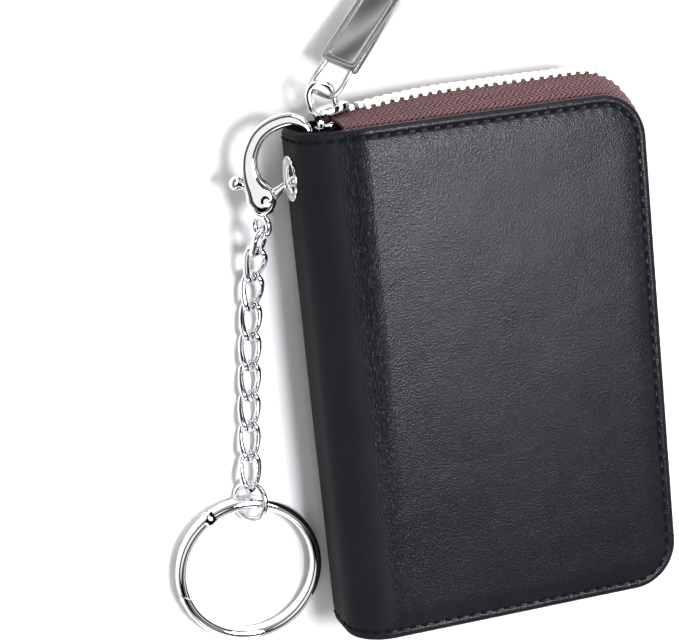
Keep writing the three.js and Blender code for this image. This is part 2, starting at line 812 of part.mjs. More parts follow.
class LinkCurve extends THREE.Curve {
  constructor(pitch, width, wire, startTwist, endTwist) {
    super();
    this.pitch = pitch;
    this.halfWidth = (width - wire) / 2;
    this.halfLength = (pitch + wire + linkPlay) / 2;
    this.startTwist = startTwist;
    this.endTwist = endTwist;
  }

  getPoint(t, target = new THREE.Vector3()) {
    const straight = 2 * (this.halfLength - this.halfWidth);
    const bend = Math.PI * this.halfWidth;
    const run = (((t % 1) + 1) % 1) * 2 * (straight + bend);
    const second = run >= straight + bend;
    const s = second ? run - straight - bend : run;
    let x = s - straight / 2;
    let y = -this.halfWidth;
    if (s > straight) {
      const turn = (s - straight) / this.halfWidth;
      x = straight / 2 + this.halfWidth * Math.sin(turn);
      y = -this.halfWidth * Math.cos(turn);
    }
    const flip = second ? -1 : 1;
    x *= flip;
    y *= flip;
    const share = THREE.MathUtils.clamp(0.5 + x / this.pitch, 0, 1);
    const twist = radians(this.startTwist + (this.endTwist - this.startTwist) * share);
    return target.set(x + this.pitch / 2, y * Math.cos(twist), y * Math.sin(twist));
  }
}

function wireLoop(curve, wire, steps) {
  return new THREE.TubeGeometry(curve, steps, wire / 2, 6, true);
}

const curbCurve = new LinkCurve(linkPitch, linkWidth, linkWire, linkTwist, -linkTwist);
const ovalCurve = new LinkCurve(ovalPitch, ovalWidth, ovalWire, -linkTwist, -linkTwist);

// Half of the height that a curb link takes up when it lies on a table
function linkRestHeight() {
  const highest = Math.max(...curbCurve.getPoints(48).map((point) => Math.abs(point.z)));
  return highest + linkWire / 2;
}

// Key ring: two arcs of one section, hinged by a pin and meeting at a step

function ringSection() {
  const r = keyRingRadial / 2;
  const w = keyRingAxial / 2;
  const e = keyRingEdge;
  return [[r, -w + e], [r, w - e], [r - e, w], [-r + e, w], [-r, w - e], [-r, -w + e], [-r + e, -w], [r - e, -w]];
}

const keyRingMiddle = keyRingRadius - keyRingRadial / 2;

// Each end face can lean along the ring, so that its inner edge lies further round
function ringArc(fromAngle, toAngle, section, stepDegrees, fromLean = 0, toLean = 0) {
  const steps = Math.ceil((toAngle - fromAngle) / stepDegrees);
  const rings = [];
  for (let i = 0; i <= steps; i++) {
    const angle = THREE.MathUtils.lerp(fromAngle, toAngle, i / steps);
    const lean = Math.tan(radians(THREE.MathUtils.lerp(fromLean, toLean, i / steps)));
    rings.push(section.map(([out, up]) => {
      const turn = radians(angle - arcDegrees(out * lean));
      const radius = keyRingMiddle + out;
      return new THREE.Vector3(radius * Math.cos(turn), radius * Math.sin(turn), up);
    }));
  }
  return loftRings(rings, section.map(([out, up]) => new THREE.Vector2(out, up)));
}

function ringPoint(angle) {
  const turn = radians(angle);
  return new THREE.Vector3(keyRingMiddle * Math.cos(turn), keyRingMiddle * Math.sin(turn), 0);
}

function arcDegrees(length) {
  return THREE.MathUtils.radToDeg(length / keyRingMiddle);
}

const hingeEye = keyRingRadial / 2;

function keyRingBody() {
  const stopAngle = gatePivotAngle - arcDegrees(hingeEye + hingePlay);
  const startAngle = gateEndAngle + arcDegrees(hingePlay);
  const arc = ringArc(startAngle, stopAngle + 360, ringSection(), 11, gateSeamAngle, 0);
  const half = keyTongue / 2;
  const strip = [[hingeEye, -half], [hingeEye, half], [-hingeEye, half], [-hingeEye, -half]];
  const tongue = ringArc(stopAngle - arcDegrees(hingePlay), gatePivotAngle, strip, 3);
  const eye = rod(hingeEye, keyTongue, 16, alongZ, ringPoint(gatePivotAngle));
  const hole = rod(keyPinRadius + pinClearance, keyRingAxial, 12, alongZ, ringPoint(gatePivotAngle));
  return cutAway(joined([arc, tongue, eye]), [hole]);
}

function keyRingGate() {
  const arc = ringArc(gatePivotAngle, gateEndAngle, ringSection(), 9, 0, gateSeamAngle);
  const eye = rod(hingeEye, keyRingAxial, 16, alongZ, ringPoint(gatePivotAngle));
  const half = keyTongue / 2 + hingePlay;
  const wide = keyRingRadial;
  const cut = [[wide, -half], [wide, half], [-wide, half], [-wide, -half]];
  const from = gatePivotAngle - arcDegrees(keyRingRadial);
  const slot = ringArc(from, gatePivotAngle + arcDegrees(hingeEye + hingePlay), cut, 4);
  const hole = rod(keyPinRadius + pinClearance, keyRingAxial + overrun, 12, alongZ, ringPoint(gatePivotAngle));
  const whole = cutAway(joined([arc, eye]), [slot, hole]);
  const centre = ringPoint(gatePivotAngle);
  return whole.translate(-centre.x, -centre.y, -centre.z);
}

// Assembly: the two covers with what is fixed to them

function buildCover(side, front) {
  const cover = new THREE.Group();
  cover.rotation.x = front ? Math.PI : 0;
  cover.position.z = front ? walletThickness : 0;
  wallet.add(cover);
  addMesh(cover, `${side}_cover_leather`, coverLeather(), look.leather);
  addMesh(cover, `${side}_cover_board`, coverBoard(), look.board);
  addMesh(cover, `${side}_cover_lining`, coverLining(), look.twill);
  addMesh(cover, `${side}_zip_stringer`, stringer(front), look.tape);
}

buildCover('back', false);
buildCover('front', true);
addMesh(wallet, 'slip_pocket', slipPocket(), look.leather);
addMesh(wallet, 'spine_leather', spineLeather(), look.leather);
addMesh(wallet, 'spine_lining', spineLining(), look.twill);
addMesh(wallet, 'eyelet', eyelet(), look.chrome);
addMesh(wallet, 'eyelet_washer', eyeletWasher(), look.chrome);
addMesh(wallet, 'zip_stop', zipStop(), look.nickel);

function buildAccordion() {
  const back = addMesh(wallet, 'pocket_end_back', leafGeometry(panelThickness, true, false, leafDepth), look.twill);
  back.position.z = backPanelMid;
  const leaf = leafGeometry(leafThickness, true, true, leafDepth);
  for (let k = 1; k < pocketCount; k++) {
    const name = `pocket_leaf_${String(k).padStart(2, '0')}`;
    addMesh(wallet, name, leaf, look.twill).position.z = backPanelMid + k * leafPitch;
  }
  const front = addMesh(wallet, 'pocket_end_front', leafGeometry(panelThickness, false, true, leafDepth), look.twill);
  front.position.z = frontPanelMid;
}

buildAccordion();

// Assembly: slider and pull tab

function buildSlider() {
  const place = zipPlace(sliderX - tapeEndX);
  const slider = addMesh(wallet, 'zip_slider', zipSlider(), look.chrome);
  slider.position.copy(zipPoint(place, place.ridge, midPlane));
  slider.rotation.z = place.slope;
  slider.updateMatrixWorld(true);
  const pull = addMesh(wallet, 'pull_tab', pullTab(), look.nickel);
  pull.position.copy(slider.localToWorld(crownContact()));
  pull.rotation.set(radians(-pullRoll), radians(pullDip), radians(pullHeading), 'ZYX');
}

buildSlider();

// Assembly: clasp, chain and key ring

function buildClasp() {
  const clasp = new THREE.Group();
  clasp.position.set(spineX + leatherThickness, eyeletY, midPlane);
  clasp.rotation.y = radians(-claspTilt);
  wallet.add(clasp);
  addMesh(clasp, 'clasp_body', claspBody(), look.chrome);
  const pinPlace = claspPoint(claspPivotShares);
  addMesh(clasp, 'clasp_gate', claspGate(), look.chrome).position.copy(pinPlace);
  const pin = rivetPin(claspPinRadius, 2 * claspPinRadius, claspPinHead, claspThickness + 2 * pinClearance);
  addMesh(clasp, 'clasp_pin', pin, look.chrome).position.copy(pinPlace);
  clasp.updateMatrixWorld(true);
  return clasp.localToWorld(claspPoint(claspEyeShares));
}

// How much of the way down to the table each link takes, and of the way up to the jump ring
const fallShares = [0.42, 0.33, 0.18, 0.07];
const riseShares = [0.35, 0.65];

function chainDirection(slope) {
  const heading = radians(chainHeading);
  const flat = Math.cos(slope);
  return new THREE.Vector3(-Math.sin(heading) * flat, -Math.cos(heading) * flat, Math.sin(slope));
}

// Turns +X to a direction and keeps +Z as near up as it goes
function aimAlong(object, direction) {
  const side = new THREE.Vector3().crossVectors(alongZ, direction).normalize();
  const up = new THREE.Vector3().crossVectors(direction, side);
  object.quaternion.setFromRotationMatrix(new THREE.Matrix4().makeBasis(direction, side, up));
}

// How far inside a ring's wire centreline the loop hooked into it has its turning point
function interlock(ringWire, otherWire) {
  return (ringWire + otherWire) / 4 + linkPlay / 2;
}

function buildChain(eyeCentre) {
  const reach = claspEyeRadius - interlock(claspEyeWire, ovalWire);
  const start = eyeCentre.clone().addScaledVector(chainDirection(0), reach);
  const jumpHeight = jumpRingRadius * Math.sin(radians(jumpRingTilt)) + jumpRingWire / 2;
  const rest = linkRestHeight();
  const count = linkCount + 1;
  const pivot = start.clone();
  for (let i = 0; i < count; i++) {
    const pitch = i === 0 ? ovalPitch : linkPitch;
    const fall = i < fallShares.length ? fallShares[i] * (start.z - rest) : 0;
    const late = i - (count - riseShares.length);
    const rise = late >= 0 ? riseShares[late] * (jumpHeight - rest) : 0;
    const direction = chainDirection(Math.asin((rise - fall) / pitch));
    const name = i === 0 ? 'oval_link' : `chain_link_${i}`;
    const curve = i === 0 ? ovalCurve : curbCurve;
    const wire = i === 0 ? ovalWire : linkWire;
    const link = addMesh(wallet, name, wireLoop(curve, wire, 20), look.chrome);
    link.position.copy(pivot);
    aimAlong(link, direction);
    pivot.addScaledVector(direction, pitch);
  }
  return pivot;
}

function buildKeyRing(chainEnd) {
  const level = chainDirection(0);
  const reach = jumpRingRadius - interlock(jumpRingWire, linkWire);
  const torus = new THREE.TorusGeometry(jumpRingRadius, jumpRingWire / 2, 6, 20);
  torus.rotateX(radians(jumpRingTilt)).translate(reach, 0, 0);
  const jump = addMesh(wallet, 'jump_ring', torus, look.chrome);
  jump.position.copy(chainEnd);
  aimAlong(jump, level);
  const seat = chainEnd.clone().addScaledVector(level, reach + keyRingSeat);
  const keyRing = new THREE.Group();
  const lift = seat.z - keyRingAxial / 2;
  const tilt = Math.asin(lift / (keyRingMiddle + keyRingRadius));
  keyRing.position.copy(seat).addScaledVector(level, keyRingMiddle * Math.cos(tilt));
  keyRing.position.z = seat.z - keyRingMiddle * Math.sin(tilt);
  keyRing.rotation.set(tilt, 0, radians(-chainHeading), 'ZXY');
  wallet.add(keyRing);
  addMesh(keyRing, 'key_ring_body', keyRingBody(), look.chrome);
  const pinPlace = ringPoint(gatePivotAngle);
  const pin = rivetPin(keyPinRadius, keyPinHeadRadius, keyPinHead, keyRingAxial + 2 * pinClearance);
  addMesh(keyRing, 'key_ring_pin', pin, look.chrome).position.copy(pinPlace);
  addMesh(keyRing, 'key_ring_gate', keyRingGate(), look.chrome).position.copy(pinPlace);
}

buildKeyRing(buildChain(buildClasp()));

export default wallet;
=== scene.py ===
import json
import math

import bmesh
import bpy
import numpy as np
from mathutils import Matrix, Vector, noise


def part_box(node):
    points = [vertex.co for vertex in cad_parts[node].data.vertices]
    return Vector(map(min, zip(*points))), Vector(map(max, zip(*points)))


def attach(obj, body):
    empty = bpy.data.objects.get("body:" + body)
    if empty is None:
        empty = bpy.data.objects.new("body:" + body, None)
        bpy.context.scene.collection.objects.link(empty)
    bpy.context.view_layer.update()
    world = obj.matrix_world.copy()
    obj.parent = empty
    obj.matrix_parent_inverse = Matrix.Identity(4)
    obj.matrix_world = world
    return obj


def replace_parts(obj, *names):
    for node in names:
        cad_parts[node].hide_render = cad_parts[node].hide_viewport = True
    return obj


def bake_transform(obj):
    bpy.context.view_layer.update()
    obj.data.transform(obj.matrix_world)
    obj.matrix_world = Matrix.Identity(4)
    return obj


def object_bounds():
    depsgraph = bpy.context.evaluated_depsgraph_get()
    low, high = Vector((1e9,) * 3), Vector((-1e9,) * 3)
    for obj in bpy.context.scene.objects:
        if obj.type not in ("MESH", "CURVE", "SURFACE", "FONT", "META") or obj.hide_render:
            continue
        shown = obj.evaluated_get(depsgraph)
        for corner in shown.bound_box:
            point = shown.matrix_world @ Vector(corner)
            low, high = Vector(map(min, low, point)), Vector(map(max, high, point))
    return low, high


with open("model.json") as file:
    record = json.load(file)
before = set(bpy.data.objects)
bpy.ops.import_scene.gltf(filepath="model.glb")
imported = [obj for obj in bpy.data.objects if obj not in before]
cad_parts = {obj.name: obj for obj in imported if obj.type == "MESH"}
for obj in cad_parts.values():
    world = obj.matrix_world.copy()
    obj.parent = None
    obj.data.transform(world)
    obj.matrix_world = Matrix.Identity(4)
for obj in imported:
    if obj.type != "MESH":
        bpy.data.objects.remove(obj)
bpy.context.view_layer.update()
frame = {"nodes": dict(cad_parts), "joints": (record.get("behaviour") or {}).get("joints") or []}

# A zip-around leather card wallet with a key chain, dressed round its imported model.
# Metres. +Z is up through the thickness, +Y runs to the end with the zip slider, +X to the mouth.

# Camera, fitted to the shut wallet in the photograph
IMAGE_WIDTH = 679
CAMERA_AZIMUTH = 14.8
CAMERA_ELEVATION = 12.3
CAMERA_ROLL = -6.1
CAMERA_DISTANCE = 0.4197
CAMERA_FOCUS = 1964
CAMERA_TARGET = (-0.0303, 0.0128, 0.012)
SENSOR = 36
NEAREST = 0.01

# Surfaces. A relief is the height of a grain. Colors and scales stand with each material.
PEBBLE_RELIEF = 0.00006
PORE_RELIEF = 0.00005
SWELL_RELIEF = 0.0005
TWIST_RELIEF = 0.00005
SPINE_MATTE = 0.45
THREADS_PER_RIB = 1.5
PITCH_TO_RELIEF = 6
WORN = 0.03
FLOOR_SIZE = 6

# Angles in degrees over which an edge is left sharp, and facets of round forms
SHARP_ANGLE = 50
TOOTH_SHARP_ANGLE = 80
METAL_SHARP_ANGLE = 40
CRISP_ANGLE = 38
WIRE_SIDES = 16
LOOP_STEPS = 72
BAR_SIDES = 28
EYELET_SIDES = 64
CUT_SIDES = 48

# Leather shell
SHELL_STEP = 0.000675
SHELL_THICKNESS = 0.001
EDGE_DEPTH = 0.0022
EDGE_ROUND = 0.0009
CORNER_RADIUS = 0.01
CORNER_STEPS = 22
CROWN_RISE = 0.00022
CROWN_RUN = 0.004
RIM_FALL = 0.00018
GROOVE_DEPTH = 0.0004
GROOVE_WIDTH = 0.00045
CREASE_ACROSS = 1900
CREASE_ALONG = 520
CREASE_SLANT = 14
CREASE_REACH = 0.0036
CREASE_SHIFT = 0.0012
CREASE_RELIEF = 0.0016
CREASE_FADE = 0.1
EDGE_LAP = 0.0012
PULL_SHARE = 0.4
PUCKER_SHARE = 0.3
SWAY_SCALE = 45
SWAY_SHARE = 0.35

# Stitching
STITCH_INSET = 0.002
STITCH_PITCH = 0.0027
STITCH_LENGTH = 0.0019
THREAD_RADIUS = 0.00038
STITCH_SINK = 0.0007
STITCH_SEAT_SHARE = 0.55
STITCH_STEPS = 8
THREAD_SIDES = 8
STITCH_NUDGE = 0.0001

# Lining, slip pocket and accordion
LINING_INSET = 0.0027
LINING_ROUND = 0.00015
LINING_CORNER_STEPS = 12
SPINE_LINING_THICKNESS = 0.0004
SPINE_LINING_STEPS = 16
SPINE_LINING_ROWS = 48
SLIP_POCKET_CORNER = 0.004
SLIP_POCKET_ROUND = 0.0002
LAST_LEAF = 14
LEAF_THICKNESS = 0.0004
END_PANEL_THICKNESS = 0.0003
LEAF_ROUND = 0.00012
PLEAT_DEPTH = 0.008
PLEAT_THICKNESS = 0.00022
PLEAT_SHARPNESS = 1.15
PLEAT_STEPS = 10
PLEAT_ROWS = 40

# Zip. The ridge stands less far out along the mouth than at the end where the slider starts.
TAPE_THICKNESS = 0.0007
TAPE_SEAM_WIDTH = 0.0022
TAPE_BULGE = 0.0003
TAPE_DROP = 0.0004
GLUE_GAP = 0.0001
ZIP_RIDGE = 0.004
MOUTH_RIDGE = 0.0026
ZIP_END_DIP = 0.0024
ZIP_DIP_LENGTH = 0.028
TAPE_END_SETBACK = 0.0005
BEAD_THICKNESS = 0.0013
BEAD_LENGTH = 0.0012
TOOTH_PITCH = 0.0021
TOOTH_WIDTH = 0.0012
TOOTH_THICKNESS = 0.0025
TOOTH_LENGTH = 0.0019
TOOTH_ROOT = 0.0013
TOOTH_ENGAGEMENT = 0.0008
TOOTH_BEVEL = 0.00022
SLIDER_SETBACK = 0.0009
SLIDER_LENGTH = 0.0076
FIRST_TOOTH_GAP = 0.0007
TAPE_STEP = 0.0007
TAPE_SLOPE_STEPS = 14
BEAD_STEPS = 6
METAL_ROUND = 0.00012
PULL_TAB_ROUND = 0.0002

# Eyelet, as (radius, distance outwards) round its section, from the hole over the flange
EYELET_WALL = 0.0004
EYELET_CUT_REACH = 0.005
EYELET_PROFILE = [
    (0.0029, -0.0002), (0.00294, 0.00008), (0.00308, 0.00026), (0.0034, 0.00036), (0.0039, 0.00046),
    (0.0043, 0.0006), (0.00454, 0.0007), (0.00472, 0.00066), (0.00482, 0.0005), (0.00485, 0.00026),
    (0.00478, 0.00004), (0.0033, 0.00004),
]

# Clasp. Its stations run from the eye up the body and round the hook to its nose, as shares of
# the clasp's length for X and Y, then half the width and half the depth there. Those of the gate
# run from its tip over the pivot to the thumb knob.
GATE_STATIONS = [
    (-0.084, -0.04, 0.0007, 0.0008), (-0.14, -0.076, 0.00085, 0.00085), (-0.21, -0.124, 0.0012, 0.00086),
    (-0.272, -0.16, 0.0016, 0.00086), (-0.32, -0.136, 0.0013, 0.00086), (-0.38, -0.07, 0.001, 0.00086),
    (-0.44, -0.018, 0.0009, 0.0009), (-0.476, -0.002, 0.0012, 0.0012), (-0.505, 0.008, 0.0015, 0.0015),
    (-0.535, 0.018, 0.0015, 0.0015), (-0.564, 0.028, 0.0014, 0.0014),
]
CLASP_LENGTH = 0.025
CLASP_TILT = 14
CLASP_SLOT = 0.0019
CLASP_EYE_RADIUS = 0.0021
CLASP_EYE_WIRE = 0.0014
CLASP_EYE_SHARES = (-0.336, -0.372)
CLASP_EYE_STEPS = 48
CLASP_ROWS = 90
GATE_ROWS = 48
CURVE_STEPS = 24
CLASP_STATIONS = [
    (-0.336, -0.31, 0.0012, 0.0012), (-0.332, -0.27, 0.0019, 0.0015), (-0.316, -0.215, 0.0029, 0.00172),
    (-0.31, -0.15, 0.0034, 0.0018), (-0.332, -0.08, 0.0030, 0.00178), (-0.362, -0.01, 0.0024, 0.00165),
    (-0.38, 0.07, 0.0020, 0.0015), (-0.38, 0.15, 0.00178, 0.0014), (-0.356, 0.256, 0.00168, 0.00136),
    (-0.274, 0.388, 0.00162, 0.00134), (-0.144, 0.467, 0.00155, 0.0013), (0.008, 0.488, 0.00146, 0.00126),
    (0.108, 0.416, 0.00135, 0.0012), (0.134, 0.28, 0.0013, 0.0012), (0.128, 0.136, 0.00122, 0.00118),
    (0.084, 0.036, 0.0012, 0.00116), (0.008, -0.016, 0.00118, 0.00115), (-0.076, -0.036, 0.00115, 0.00115),
]
CLASP_SLOT_SHARES = [
    (-0.504, 0.09), (-0.504, -0.19), (-0.364, -0.19), (-0.324, -0.25), (-0.22, -0.25),
    (-0.088, -0.2), (-0.088, -0.056), (-0.288, 0.05), (-0.336, 0.09),
]

# Wire of the chain
LINK_COUNT = 8
LINK_WIDTH = 0.0052
LINK_WIRE = 0.00135
LINK_TWIST = 45
LINK_PLAY = 0.0003
OVAL_WIDTH = 0.0054
OVAL_WIRE = 0.00125
JUMP_RADIUS = 0.00405
JUMP_WIRE = 0.0013
JUMP_TILT = 50

# Key ring
RING_RADIUS = 0.0165
RING_RADIAL = 0.0025
RING_AXIAL = 0.0038
OVAL_POWER = 0.8
RING_PIVOT = 128
RING_GATE_END = 200
RING_SEAM = 42
RING_TONGUE = 0.0012
RING_PLAY = 0.0003
RING_STEP = 2.5

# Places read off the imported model
front_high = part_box("front_cover_leather")[1]
spine_low, spine_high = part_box("spine_leather")
RIGHT = front_high.x
HALF = front_high.y
THICKNESS = front_high.z
MIDDLE = THICKNESS / 2
FOLD_X = spine_high.x
FOLD_RADIUS = spine_high.x - spine_low.x
joints = {joint["name"]: joint for joint in frame["joints"]}


def joint_point(name):
    return Vector(joints[name]["pos_m"])


def joint_axis(name):
    return Vector(joints[name]["axis"]).normalized()


def smooth_step(value):
    share = min(max(value, 0), 1)
    return share * share * (3 - 2 * share)


def round_turns(count):
    """Angles spread evenly over a full turn."""
    return [math.tau * k / count for k in range(count)]


COVER_RUN = RIGHT - FOLD_X
BEND_RUN = FOLD_RADIUS * math.pi / 2
SHELL_RUN = COVER_RUN + BEND_RUN + MIDDLE - FOLD_RADIUS


# Materials


def set_inputs(node, values):
    for name, value in values.items():
        node.inputs[name].default_value = value


def new_material(name, color, roughness, metallic=0.0):
    material = bpy.data.materials.new(name)
    material.use_nodes = True
    shader = material.node_tree.nodes["Principled BSDF"]
    set_inputs(shader, {"Base Color": (*color, 1), "Roughness": roughness, "Metallic": metallic})
    return material, shader


def add_node(beside, kind, inputs=None, **values):
    """A new node in the material that a node or socket belongs to."""
    node = beside.id_data.nodes.new(kind)
    for key, value in values.items():
        setattr(node, key, value)
    set_inputs(node, inputs or {})
    return node


def link(out_socket, in_socket):
    out_socket.id_data.links.new(out_socket, in_socket)


def add_math(operation, first, second=0):
    node = add_node(first, "ShaderNodeMath", operation=operation)
    for socket, value in zip(node.inputs, (first, second)):
        if isinstance(value, bpy.types.NodeSocket):
            link(value, socket)
        else:
            socket.default_value = value
    return node.outputs[0]


def add_bump(height, distance, strength, below=None):
    bump = add_node(height, "ShaderNodeBump", {"Distance": distance, "Strength": strength})
    link(height, bump.inputs["Height"])
    if below is not None:
        link(below, bump.inputs["Normal"])
    return bump.outputs["Normal"]


def object_coordinates(shader):
    return add_node(shader, "ShaderNodeTexCoord").outputs["Object"]


def flat_coordinates(shader):
    """A piece's own flat coordinates, whole and as its two directions."""
    place = add_node(shader, "ShaderNodeUVMap", uv_map="flat").outputs["UV"]
    parts = add_node(shader, "ShaderNodeSeparateXYZ")
    link(place, parts.inputs["Vector"])
    return place, parts.outputs["X"], parts.outputs["Y"]


def add_noise(coordinates, scale, detail=3, distortion=0.0):
    inputs = {"Scale": scale, "Detail": detail, "Distortion": distortion}
    node = add_node(coordinates, "ShaderNodeTexNoise", inputs)
    link(coordinates, node.inputs["Vector"])
    return node.outputs["Fac"]


def color_between(factor, dark, light):
    ramp = add_node(factor, "ShaderNodeValToRGB")
    ramp.color_ramp.elements[0].color = (*dark, 1)
    ramp.color_ramp.elements[1].color = (*light, 1)
    link(factor, ramp.inputs["Fac"])
    return ramp.outputs["Color"]


def mapped(value, low, high, start=0, end=1, easing="LINEAR"):
    """A value that runs from start to end, turned into one that runs from low to high."""
    inputs = {"From Min": start, "From Max": end, "To Min": low, "To Max": high}
    node = add_node(value, "ShaderNodeMapRange", inputs, interpolation_type=easing)
    link(value, node.inputs["Value"])
    return node.outputs["Result"]


def leather_material():
    material, shader = new_material("black_leather", color=(0.007, 0.007, 0.010), roughness=0.4)
    set_inputs(shader, {"Specular IOR Level": 0.14})
    place, run, along = flat_coordinates(shader)
    cells = {"Scale": 3400, "Smoothness": 0.5}
    pebble = add_node(shader, "ShaderNodeTexVoronoi", cells, feature="SMOOTH_F1")
    link(place, pebble.inputs["Vector"])
    fine = add_noise(place, scale=2600, detail=4, distortion=0.3)
    broad = add_noise(place, scale=70, distortion=0.4)
    tone = color_between(broad, dark=(0.003, 0.003, 0.005), light=(0.010, 0.010, 0.014))
    link(tone, shader.inputs["Base Color"])
    gloss = mapped(fine, low=0.2, high=0.36)
    matte = mapped(run, 0, SPINE_MATTE, COVER_RUN - CREASE_SHIFT, COVER_RUN + BEND_RUN / 4, "SMOOTHSTEP")
    link(add_math("ADD", gloss, matte), shader.inputs["Roughness"])
    soft = add_bump(broad, SWELL_RELIEF, strength=0.4)
    grain = add_bump(pebble.outputs["Distance"], PEBBLE_RELIEF, strength=0.8, below=soft)
    pores = add_bump(fine, PORE_RELIEF, strength=0.8, below=grain)
    creases = add_bump(fold_creases(place, run, along), CREASE_RELIEF, strength=1, below=pores)
    link(creases, shader.inputs["Normal"])
    return material


def fold_creases(place, run, along):
    """Short wrinkles along the fold. They fade out on both sides of it and towards the far end."""
    slant = (0, 0, math.radians(CREASE_SLANT))
    inputs = {"Scale": (CREASE_ACROSS, CREASE_ALONG, 1), "Rotation": slant}
    stretch = add_node(place, "ShaderNodeMapping", inputs)
    link(place, stretch.inputs["Vector"])
    wrinkle = add_noise(stretch.outputs["Vector"], scale=1, distortion=0.8)
    away = add_math("ABSOLUTE", add_math("SUBTRACT", run, COVER_RUN - CREASE_SHIFT))
    near = mapped(away, 0, 1, CREASE_REACH, 0, "SMOOTHSTEP")
    fade = mapped(along, CREASE_FADE, 1, -HALF, HALF, "SMOOTHSTEP")
    return add_math("MULTIPLY", wrinkle, add_math("MULTIPLY", near, fade))


def thread_material():
    material, shader = new_material("black_thread", color=(0.002, 0.002, 0.003), roughness=0.85)
    set_inputs(shader, {"Specular IOR Level": 0.15})
    twist = add_noise(object_coordinates(shader), scale=4000, detail=2, distortion=0.5)
    link(add_bump(twist, TWIST_RELIEF, strength=0.5), shader.inputs["Normal"])
    return material


def woven_material(name, dark, light, roughness, pitch, contrast, crossing, chevron=0.0):
    """Ribs that run slantwise over the cloth's own flat coordinates. Crossing threads break them
    into beads. A chevron width turns them back on themselves, as in a herringbone."""
    material, shader = new_material(name, light, roughness)
    set_inputs(shader, {"Sheen Weight": 0.05, "Sheen Roughness": 0.5, "Specular IOR Level": 0.3})
    _, along, across = flat_coordinates(shader)
    if chevron:
        across = add_math("PINGPONG", across, chevron)
    rib = add_math("MULTIPLY", add_math("ADD", along, across), math.tau / pitch)
    turns = math.tau * THREADS_PER_RIB / pitch
    warp = add_math("MULTIPLY", add_math("SUBTRACT", along, across), turns)
    cross = add_math("MULTIPLY", add_math("SINE", warp), crossing)
    weave = add_math("ADD", add_math("SINE", rib), cross)
    speck = add_noise(object_coordinates(shader), scale=1200, distortion=0.3)
    # Colour follows the weave's height: painted shade in the grooves between the ribs and a painted
    # highlight on their crests, over the yarn's own colour and random specks.
    level = add_math("ADD", add_math("MULTIPLY", weave, contrast), speck)
    link(color_between(level, dark, light), shader.inputs["Base Color"])
    link(add_bump(weave, pitch / PITCH_TO_RELIEF, strength=0.8), shader.inputs["Normal"])
    return material


def metal_material(name, color, roughness):
    material, shader = new_material(name, color, roughness, metallic=1.0)
    smudge = add_noise(object_coordinates(shader), scale=260, distortion=0.5)
    link(mapped(smudge, roughness - WORN, roughness + WORN), shader.inputs["Roughness"])
    return material


def board_material():
    material, shader = new_material("stiffening_board", color=(0.32, 0.27, 0.21), roughness=0.95)
    fibre = add_noise(object_coordinates(shader), scale=900, detail=4, distortion=0.2)
    tone = color_between(fibre, dark=(0.26, 0.21, 0.16), light=(0.36, 0.31, 0.24))
    link(tone, shader.inputs["Base Color"])
    return material


leather = leather_material()
thread = thread_material()
# Each cloth's dark colour is painted shade for the grooves between its ribs; its light colour is the yarn
# with a painted highlight on the rib crests.
twill = woven_material(
    "brown_twill", dark=(0.022, 0.006, 0.003), light=(0.21, 0.072, 0.036), roughness=0.75,
    pitch=0.0009, contrast=0.42, crossing=0.3,
)
tape_cloth = woven_material(
    "wine_tape", dark=(0.003, 0.0008, 0.001), light=(0.24, 0.085, 0.096), roughness=0.7,
    pitch=0.00125, contrast=0.6, crossing=0.9, chevron=0.0019,
)
chrome = metal_material("polished_plating", color=(0.88, 0.88, 0.9), roughness=0.06)
satin = metal_material("soft_plating", color=(0.86, 0.85, 0.86), roughness=0.17)
tooth_metal = metal_material("tooth_metal", color=(0.92, 0.90, 0.87), roughness=0.36)
nickel = metal_material("satin_plating", color=(0.50, 0.49, 0.48), roughness=0.26)
board = board_material()


# Mesh building


def finish_piece(name, mesh, material, sharp):
    mesh.materials.append(material)
    mesh.shade_smooth()
    mesh.set_sharp_from_angle(angle=math.radians(sharp))
    piece = bpy.data.objects.new(name, mesh)
    bpy.context.scene.collection.objects.link(piece)
    return piece


def make_piece(name, points, faces, material, flat=None, sharp=SHARP_ANGLE):
    mesh = bpy.data.meshes.new(name)
    mesh.from_pydata([tuple(point) for point in points], [], faces)
    if flat is not None:
        layer = mesh.uv_layers.new(name="flat")
        for corner in mesh.loops:
            layer.data[corner.index].uv = flat[corner.vertex_index]
    mesh.validate()
    return finish_piece(name, mesh, material, sharp)


def turn_outward(piece):
    """Faces of a closed mesh all point away from its inside."""
    work = bmesh.new()
    work.from_mesh(piece.data)
    bmesh.ops.recalc_face_normals(work, faces=work.faces)
    work.to_mesh(piece.data)
    work.free()
    return piece


def loft_faces(ring_count, size, closed_path=False):
    """Quads between rows of points that each go round a closed section, and a face at each end."""
    faces = []
    last = ring_count if closed_path else ring_count - 1
    for row in range(last):
        after = (row + 1) % ring_count
        for k in range(size):
            right = (k + 1) % size
            faces.append((row * size + k, row * size + right, after * size + right, after * size + k))
    if not closed_path:
        faces.append(tuple(range(size))[::-1])
        faces.append(tuple((ring_count - 1) * size + k for k in range(size)))
    return faces


def make_loft(name, rings, material, closed_path=False, flat=None):
    points = [point for ring in rings for point in ring]
    faces = loft_faces(len(rings), len(rings[0]), closed_path)
    return turn_outward(make_piece(name, points, faces, material, flat))


def round_loop(centre, first, second, radius, wire, steps):
    """Rings of points round the wire of a loop that lies in the plane of two directions."""
    normal = first.cross(second)
    rings = []
    for turn in round_turns(steps):
        out = first * math.cos(turn) + second * math.sin(turn)
        rings.append([
            centre + out * (radius + wire / 2 * math.cos(a)) + normal * wire / 2 * math.sin(a)
            for a in round_turns(WIRE_SIDES)
        ])
    return rings


# Leather shell. Each half runs from the mouth edge over its cover, round the fold and to the
# middle of the spine. It is drawn flat, as (distance from the mouth edge, Y, height), and bent.


